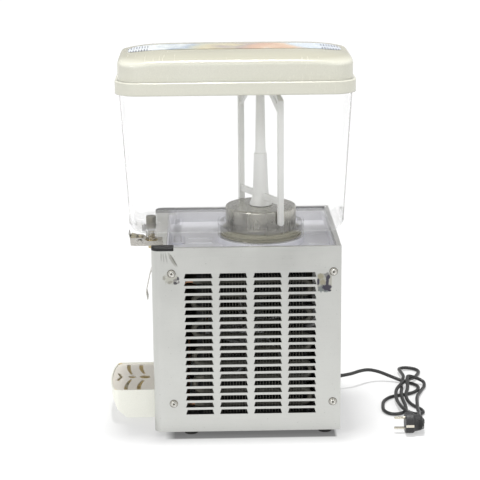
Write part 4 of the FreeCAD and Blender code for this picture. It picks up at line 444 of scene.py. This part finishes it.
where = node(tree, "SeparateXYZ", {0: place})
outer = sloped(tree, where.outputs["X"], 0.1485, 0.1495)
painted_shade_lip = painted_lip_mask(tree, where, 1)
marks = [
    (torn(spot(-99.0, 322.5, 4.6, 19.0, 29), 0.15, 0.55, 0.1), (0.27, 0.265, 0.235), 0.8),
    (torn(spot(-96.2, 321.2, 1.5, 16.5, 29), 0.1, 0.6, 0.1), (0.13, 0.13, 0.11), 0.8),
    (torn(united([spot(-117.8, 328.0, 2.0, 12.0), spot(-114.0, 327.0, 2.0, 13.5, 4),
                  spot(-109.6, 327.5, 2.2, 14.0, 10), spot(-134.0, 326.0, 4.5, 11.0)]), 0.1, 0.8, 0.15),
     (0.26, 0.26, 0.24), 0.65),
    (torn(spot(-101.6, 289.0, 17.0, 14.0), 0.15, 0.5, 0.25), (0.42, 0.41, 0.35), 0.75),
    (torn(united([spot(-113.5, 290.5, 4.5, 7.0), spot(-104.0, 283.0, 10.0, 5.0)]), 0.3, 0.7, 0.3),
     (0.27, 0.26, 0.22), 0.75),
    (torn(united([spot(-93.5, 286.8, 6.5, 4.6, 20), spot(-89.2, 282.8, 3.4, 3.6)]), 0.25, 0.5),
     (0.20, 0.19, 0.19), 0.85),
    (torn(united([spot(-89.9, 289.6, 3.0, 5.0), spot(-95.2, 281.6, 5.6, 4.4, -15)]), 0.3, 0.5),
     (0.05, 0.045, 0.055), 0.95),
    (torn(spot(160.6, 279.0, 13.2, 17.6, 0, True), 0.06, 0.14, 0.05), (0.34, 0.335, 0.29), 0.85),
    (torn(united([spot(154.0, 289.5, 8.0, 8.0), spot(157.4, 279.7, 8.0, 7.5)]), 0.2, 0.5, 0.2),
     (0.30, 0.28, 0.20), 0.9),
    (torn(spot(170.6, 280.5, 3.6, 13.0, 0, True), 0.1, 0.4, 0.1), (0.44, 0.43, 0.38), 0.8),
    (torn(united([spot(155.5, 267.6, 9.5, 8.5), spot(163.5, 264.0, 10.0, 4.5)]), 0.2, 0.5),
     (0.15, 0.17, 0.175), 0.85),
    (torn(spot(164.8, 292.4, 5.4, 4.4, 25, True), 0.1, 0.35, 0.1), (0.20, 0.20, 0.20), 0.9),
    (torn(united([spot(165.6, 281.0, 3.6, 14.0, -3, True), spot(167.6, 288.6, 4.2, 6.0),
                  spot(164.6, 270.4, 12.0, 8.5), spot(150.2, 279.6, 3.2, 9.0),
                  spot(170.0, 264.2, 4.0, 2.6, 20)]), 0.22, 0.42, 0.22), (0.035, 0.03, 0.05), 0.96)]
# Painted shade: the inward-folded lip is dark grey and not metallic; the torn labels and scuffs are real marks.
colour = mixed(tree, painted_shade_lip, shader.inputs["Base Color"].links[0].from_socket, (0.20, 0.20, 0.20, 1))
marks_and_painted_lip = painted_shade_lip
for mask, shade, share in marks:
    mask = maths(tree, "MULTIPLY", mask, outer)
    colour = mixed(tree, sloped(tree, mask, 0, 1, 0, share), colour, (*shade, 1))
    marks_and_painted_lip = maths(tree, "MAXIMUM", marks_and_painted_lip, mask)
tree.links.new(colour, shader.inputs["Base Color"])
tree.links.new(sloped(tree, marks_and_painted_lip, 0, 1, 1.0, 0.1), shader.inputs["Metallic"])
dress("left_panel", worn)


# ---- frame sheet, feet, caps and screws ----
# Galvanised base plate and rear posts, black rubber feet, black column caps and the plated
# screws that hold the side panels.
dress("base_plate rear_posts motor_bracket fan_bracket drier_clip",
      brushed("galvanised", (0.48, 0.49, 0.50), (60, 60, 60), 0.42, 0.05, 0.85))
dress("rubber_feet compressor_mounts",
      coated("foot_rubber", (0.03, 0.03, 0.03), (0.12, 0.11, 0.10), 0.4, 800.0, 0.6, 0.3))
dress("column_caps", coated("cap_plastic", (0.018, 0.018, 0.018), (0.06, 0.06, 0.06), 0.3, 1200.0, 0.5, 0.2,
                               Specular_IOR_Level=0.3))


def joined(name, parts):
    """One object from several; their material slots must be alike."""
    form = bmesh.new()
    for part in parts:
        form.from_mesh(part.data)
        bpy.data.objects.remove(part)
    return piece_from(name, form)


PANEL_FACE = 150
SCREW_ROWS, SCREW_LEVELS = (-101.2, 176.25), (62.6, 298.3)
RECESS_RADIUS, WASHER_RADIUS = 1.7, 6.3
screw_profile = [(0, -11), (2.0, -11), (2.0, 0.05), (7.2, 0.05), (7.2, 0.5), (6.7, 1.1), (6.1, 1.2), (5.3, 0.75),
                 (4.7, 0.6), (4.6, 1.9), (4.3, 2.8), (3.5, 3.45), (2.3, 3.75), (1.9, 3.7), (1.2, 2.4), (0, 2.0)]
screws = []
for x in (-PANEL_FACE, PANEL_FACE):
    for y in SCREW_ROWS:
        for z in SCREW_LEVELS:
            screw = lathe("screw", screw_profile, (x, y, z), (x, 0, 0), 48)
            screw.data.set_sharp_from_angle(angle=math.radians(50))
            # The washer's rim and the head's recess take the dark second material: grime, and painted shade at that
            # edge and in that hollow.
            for face in screw.data.polygons:
                radius = math.hypot(face.center.y * 1000 - y, face.center.z * 1000 - z)
                face.material_index = int(radius > WASHER_RADIUS or radius < RECESS_RADIUS)
            screws.append(screw)
screws = joined("screws", screws)
screws.data.materials.append(brushed("screw_steel", (0.66, 0.65, 0.61), (500, 500, 500), 0.22))
screws.data.materials.append(coated("screw_grime_and_shade", (0.10, 0.095, 0.08), (0.24, 0.21, 0.15), 0.5, 900.0, 0.6, 0.2))
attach(screws, "base")
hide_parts("panel_screws")


# ---- dust filter ----
# A mat of dark reticulated foam laid inside the far side panel, behind its louvres, cut out round the clip of
# the drier. Its dark colour is painted shade, standing in for the dark inside of the cabinet seen through the louvres.
MAT_BACK, MAT_FACE = -146.2, -143.6
MAT_ROUNDING = 0.0007
mat_outline = [(-85, 45), (160, 45), (160, 300), (-85, 300), (-85, 186), (-55.2, 186), (-55.2, 190.8),
               (-30.4, 190.8), (-30.4, 179.2), (-55.2, 179.2), (-55.2, 184), (-85, 184)]
form = bmesh.new()
layers = [[form.verts.new((x / 1000, y / 1000, z / 1000)) for y, z in mat_outline]
          for x in (MAT_BACK, MAT_FACE)]
form.faces.new(layers[0])
form.faces.new(layers[1])
for i in range(len(mat_outline)):
    j = (i + 1) % len(mat_outline)
    form.faces.new((layers[0][i], layers[0][j], layers[1][j], layers[1][i]))
bmesh.ops.recalc_face_normals(form, faces=form.faces)
bmesh.ops.bevel(form, geom=form.edges[:], offset=MAT_ROUNDING, segments=2, affect="EDGES")
mat = piece_from("louvre_shade_mat", form)
dress("louvre_shade_mat", coated("foam_painted_shade", (0.06, 0.057, 0.050), (0.15, 0.14, 0.115), 0.6, 420.0, 0.9, 0.9,
                            Specular_IOR_Level=0.1))
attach(mat, "base")


# ---- sunken top pan ----
# A pressed pan in grey-blue satin sheet that closes the cabinet under the tank, with ribs and a
# raised seat for the drum. The tank's pale plastic rest stands in it.
dress("top_pan drum_seat", coated("pan_sheet", (0.80, 0.80, 0.84), (0.62, 0.62, 0.67), 0.35, 500.0, 0.4, 0.08,
                                  Metallic=0.15))
dress("tank_rest", coated("rest_plastic", (0.70, 0.70, 0.76), (0.54, 0.54, 0.59), 0.3, 900.0, 0.35, 0.1))


# ---- cold drum ----
# A polished stainless drum with a spun top, fixed to the pan's seat. It carries the spindle that
# the paddle turns on, and the soft gasket round its foot seals the tank.
dress("evaporator_drum drum_spindle", brushed("drum_steel", (0.46, 0.45, 0.405), (70, 70, 2), 0.24, 0.02))
dress("drum_gasket", coated("gasket_rubber", (0.42, 0.405, 0.32), (0.22, 0.20, 0.14), 0.5, 900.0, 0.45, 0.2))


# ---- tank ----
# Clear moulded polycarbonate, 3 mm thick, with rounded edges and a raised rim round the drum, so
# that it lifts off for washing.
def clear(name, roughness, ior, sheer, edge, haze_share):
    """Clear plastic that lets lamps through, so that what it holds is lit. Sheer and edge are the shares of
    it that are seen straight through face on and edge on; haze_share of that is milky with wear."""
    made = material(name, Base_Color=(1, 1, 1, 1), IOR=ior, Transmission_Weight=1.0)
    tree, shader = opened(made)
    haze = noise(tree, node(tree, "TexCoord").outputs["Object"], 16.0, 5.0)
    tree.links.new(sloped(tree, haze, 0.35, 0.75, roughness, roughness + 0.006), shader.inputs["Roughness"])
    ray = node(tree, "LightPath")
    turned = node(tree, "LayerWeight", {"Blend": 0.5}).outputs["Facing"]
    through = maths(tree, "MAXIMUM", ray.outputs["Is Shadow Ray"], ray.outputs["Is Diffuse Ray"])
    through = maths(tree, "MAXIMUM", through, sloped(tree, turned, 0.72, 0.86, sheer, edge))
    milky = maths(tree, "MULTIPLY", maths(tree, "SUBTRACT", 1.0, ray.outputs["Is Shadow Ray"]), haze_share)
    open_way = node(tree, "MixShader", {0: milky, 1: node(tree, "BsdfTransparent").outputs[0],
                                        2: node(tree, "BsdfDiffuse", {"Color": (0.9, 0.9, 0.9, 1)}).outputs[0]})
    mix = node(tree, "MixShader", {0: through, 1: shader.outputs[0], 2: open_way.outputs[0]})
    tree.links.new(mix.outputs[0], tree.nodes["Material Output"].inputs["Surface"])
    return made


dress("tank", clear("tank_clear", 0.0, 1.35, 0.97, 0.08, 0.03))


# ---- paddle ----
# White food-grade plastic: a stepped hub that turns on the drum, two long arms with braces, and
# the magnet ring that the drive below pulls round.
dress("paddle", coated("paddle_plastic", (0.76, 0.765, 0.745), (0.66, 0.65, 0.60), 0.25, 900.0, 0.34, 0.1))
dress("paddle_magnet drive_rotor",
      coated("magnet_black", (0.05, 0.05, 0.052), (0.13, 0.09, 0.07), 0.3, 700.0, 0.5, 0.2))


# ---- lid ----
# Glossy cream plastic, a little yellower on its crown and darkened there with painted shade, that sits
# over the tank's rim. A clear cover on the crown keeps the printed card under it.
lid = coated("lid_plastic", (0.71, 0.705, 0.615), (0.665, 0.645, 0.53), 0.2, 700.0, 0.2, 0.03)
tree, shader = opened(lid)
height = node(tree, "SeparateXYZ", {0: node(tree, "TexCoord").outputs["Object"]}).outputs["Z"]
# Above the shoulder the crown is yellower, and also painted darker than its own tone as painted shade that holds back
# the light from above.
yellowing_and_painted_shade = sloped(tree, height, 0.650, 0.658, 0, 0.9)
tree.links.new(mixed(tree, yellowing_and_painted_shade, shader.inputs["Base Color"].links[0].from_socket, (0.455, 0.44, 0.35, 1)),
               shader.inputs["Base Color"])
eased = node(tree, "Bevel", {"Radius": 0.005}, samples=12)
tree.links.new(eased.outputs["Normal"], shader.inputs["Normal"])
dress("lid_shell", lid)
dress("lid_cover", clear("cover_clear", 0.0, 1.3, 0.97, 0.9, 0.02))
CARD_MIDDLE = 0.01275
TICK_PITCH, TICK_SHARE = 0.0048, 0.42
ROW_PITCH, ROW_GAP_SHARE = 0.040, 0.35
card = material("printed_card", Roughness=0.4)
tree, shader = opened(card)
place = node(tree, "TexCoord").outputs["Object"]
shift = sloped(tree, noise(tree, place, 18.0, 3.0), 0.3, 0.7, -0.035, 0.035)
along = node(tree, "SeparateXYZ", {0: place})
band = sloped(tree, maths(tree, "ADD", along.outputs["Y"], shift), -0.17, 0.195)
ramp = node(tree, "ValToRGB", {0: band})
stops = [(0.0, (0.68, 0.72, 0.77)), (0.14, (0.70, 0.73, 0.72)), (0.22, (0.34, 0.40, 0.48)),
         (0.32, (0.48, 0.49, 0.40)), (0.42, (0.54, 0.48, 0.32)), (0.50, (0.38, 0.33, 0.30)),
         (0.60, (0.54, 0.34, 0.24)), (0.72, (0.64, 0.46, 0.32)), (0.82, (0.52, 0.60, 0.66)),
         (1.0, (0.68, 0.71, 0.77))]
while len(ramp.color_ramp.elements) < len(stops):
    ramp.color_ramp.elements.new(0.5)
for element, (position, shade) in zip(ramp.color_ramp.elements, stops):
    element.position = position
    element.color = (*shade, 1)
tick = maths(tree, "FRACT", maths(tree, "MULTIPLY", along.outputs["Y"], 1 / TICK_PITCH))
tick = maths(tree, "LESS_THAN", tick, TICK_SHARE)
ends = maths(tree, "ABSOLUTE", maths(tree, "SUBTRACT", along.outputs["Y"], CARD_MIDDLE))
ends = maths(tree, "MULTIPLY", sloped(tree, ends, 0.149, 0.151), sloped(tree, ends, 0.187, 0.189, 1, 0))
rows = maths(tree, "FRACT", maths(tree, "MULTIPLY", along.outputs["X"], 1 / ROW_PITCH))
rows = maths(tree, "GREATER_THAN", rows, ROW_GAP_SHARE)
mark = maths(tree, "MULTIPLY", maths(tree, "MULTIPLY", tick, ends), rows)
tree.links.new(mixed(tree, maths(tree, "MULTIPLY", mark, 0.95), ramp.outputs[0], (0.05, 0.05, 0.09, 1)),
               shader.inputs["Base Color"])
dress("lid_picture", card)


# ---- tap ----
# A push tap: brass spout tube, stainless weight and spring, a bent stainless lever with a beige
# finger pad, turning on a pin through the tank's ears.
dress("valve_tube lever_spacer", brushed("tap_brass", (0.55, 0.46, 0.28), (200, 200, 900), 0.26))
dress("valve_seal", coated("seal_silicone", (0.50, 0.54, 0.56), (0.38, 0.40, 0.40), 0.3, 900.0, 0.4, 0.1))
dress("lever_pin", brushed("tap_steel", (0.60, 0.58, 0.54), (60, 60, 1200), 0.22))
dress("valve_cap", brushed("cap_steel", (0.24, 0.23, 0.19), (900, 900, 40), 0.4, 0.3))
dress("tap_lever", brushed("lever_steel", (0.58, 0.56, 0.52), (400, 40, 400), 0.24))
dress("lever_pad", coated("pad_beige", (0.52, 0.47, 0.34), (0.28, 0.24, 0.15), 0.5, 900.0, 0.45, 0.2))


# ---- tap spring ----
# The stainless spring that holds the valve shut. It stands on the tube's collar, bears on the
# underside of the tank, and is pressed together as the lever lifts the valve.
SPRING_TURNS, SPRING_RADIUS, SPRING_WIRE = 5.0, 9.2, 0.65
SPRING_LOW, SPRING_HIGH, SPRING_Y = 322.35, 333.65, -139.25
SPRING_STEPS, WIRE_SIDES = 240, 12
form = bmesh.new()
rings = []
for i in range(SPRING_STEPS + 1):
    turn = SPRING_TURNS * i / SPRING_STEPS
    angle = 2 * math.pi * turn
    rise = min(max((turn - 0.5) / (SPRING_TURNS - 1.0), 0.0), 1.0)
    outward = Vector((math.cos(angle), math.sin(angle), 0.0))
    centre = outward * SPRING_RADIUS + Vector((0, SPRING_Y, SPRING_LOW + (SPRING_HIGH - SPRING_LOW) * rise))
    rings.append([form.verts.new((centre + (outward * math.cos(a) + Vector((0, 0, math.sin(a)))) * SPRING_WIRE) / 1000)
                  for a in (2 * math.pi * k / WIRE_SIDES for k in range(WIRE_SIDES))])
for first, second in zip(rings, rings[1:]):
    for k in range(WIRE_SIDES):
        after = (k + 1) % WIRE_SIDES
        form.faces.new((first[k], first[after], second[after], second[k]))
form.faces.new(rings[0])
form.faces.new(rings[-1])
bmesh.ops.recalc_face_normals(form, faces=form.faces)
spring = piece_from("tap_spring", form)
spring.data.shade_smooth()
dress("tap_spring", bpy.data.materials["tap_steel"])
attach(spring, "tank")
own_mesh(spring)
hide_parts("valve_spring")


# ---- drip tray ----
# A moulded cream tray, stained brown inside, that hangs by two tabs in slots of the front panel.
# A pale slotted grid lies loose in it, and the cup stands on that.
tray = coated("tray_plastic", (0.95, 0.955, 0.875), (0.87, 0.85, 0.73), 0.25, 700.0, 0.32, 0.05, Coat_Weight=0.3)
tree, shader = opened(tray)
where = node(tree, "SeparateXYZ", {0: node(tree, "TexCoord").outputs["Object"]})
inner = maths(tree, "ABSOLUTE", where.outputs["X"])
bow = maths(tree, "MULTIPLY_ADD", maths(tree, "MULTIPLY", inner, inner), -1.385, where.outputs["Y"])
for high, low, back in ((0.062, 0.025, 0.0145), (0.025, 0.010, 0.0165)):
    bow = maths(tree, "SUBTRACT", bow, sloped(tree, where.outputs["Z"], high, low, 0, back))
inner = maths(tree, "MULTIPLY", sloped(tree, inner, 0.0735, 0.0725), sloped(tree, bow, -0.2160, -0.2150))
inner = maths(tree, "MULTIPLY", inner, sloped(tree, where.outputs["Z"], 0.0113, 0.0118))
tree.links.new(mixed(tree, inner, shader.inputs["Base Color"].links[0].from_socket, (0.92, 0.80, 0.52, 1)),
               shader.inputs["Base Color"])
dress("drip_tray", tray)
grid = coated("grid_plastic", (0.83, 0.79, 0.72), (0.68, 0.61, 0.48), 0.3, 800.0, 0.34, 0.08)
tree, shader = opened(grid)
passed = maths(tree, "MULTIPLY", node(tree, "LightPath").outputs["Is Shadow Ray"], 0.75)
lit = node(tree, "MixShader", {0: passed, 1: shader.outputs[0], 2: node(tree, "BsdfTransparent").outputs[0]})
tree.links.new(lit.outputs[0], tree.nodes["Material Output"].inputs["Surface"])
dress("drip_grid", grid)


# ---- rear controls ----
# Two black rocker switches snapped into the rear panel in their frames, a thermostat whose knob
# stands outside, and a pale terminal block screwed down inside.
dress("switch_frames thermostat_knob fan_shroud",
      coated("black_abs", (0.03, 0.03, 0.032), (0.09, 0.09, 0.09), 0.3, 1200.0, 0.4, 0.2))
dress("power_rocker cooling_rocker",
      coated("rocker_black", (0.022, 0.022, 0.024), (0.08, 0.08, 0.08), 0.2, 1500.0, 0.28, 0.1))
dress("terminal_block", bpy.data.materials["rest_plastic"])


# ---- cooling machinery ----
# A black enamelled compressor on the base plate, zinc-cased motors, copper pipes, coil and drier
# brazed into one circuit, a black condenser and an aluminium fan.
dress("thermostat fan_motor stirrer_motor", brushed("motor_zinc", (0.34, 0.35, 0.37), (90, 90, 400), 0.4, 0.08, 0.9))
dress("compressor", coated("compressor_enamel", (0.018, 0.018, 0.018), (0.10, 0.09, 0.08), 0.35, 300.0, 0.25, 0.1,
                           Coat_Weight=0.4))
dress("evaporator_coil filter_drier refrigerant_pipes",
      brushed("copper_tube", (0.50, 0.28, 0.17), (120, 120, 120), 0.38))
dress("condenser_fins condenser_tubes",
      coated("condenser_black", (0.13, 0.125, 0.105), (0.24, 0.225, 0.185), 0.6, 260.0, 0.55, 0.2))
dress("fan_blade", brushed("fan_aluminium", (0.50, 0.51, 0.52), (300, 60, 300), 0.36))
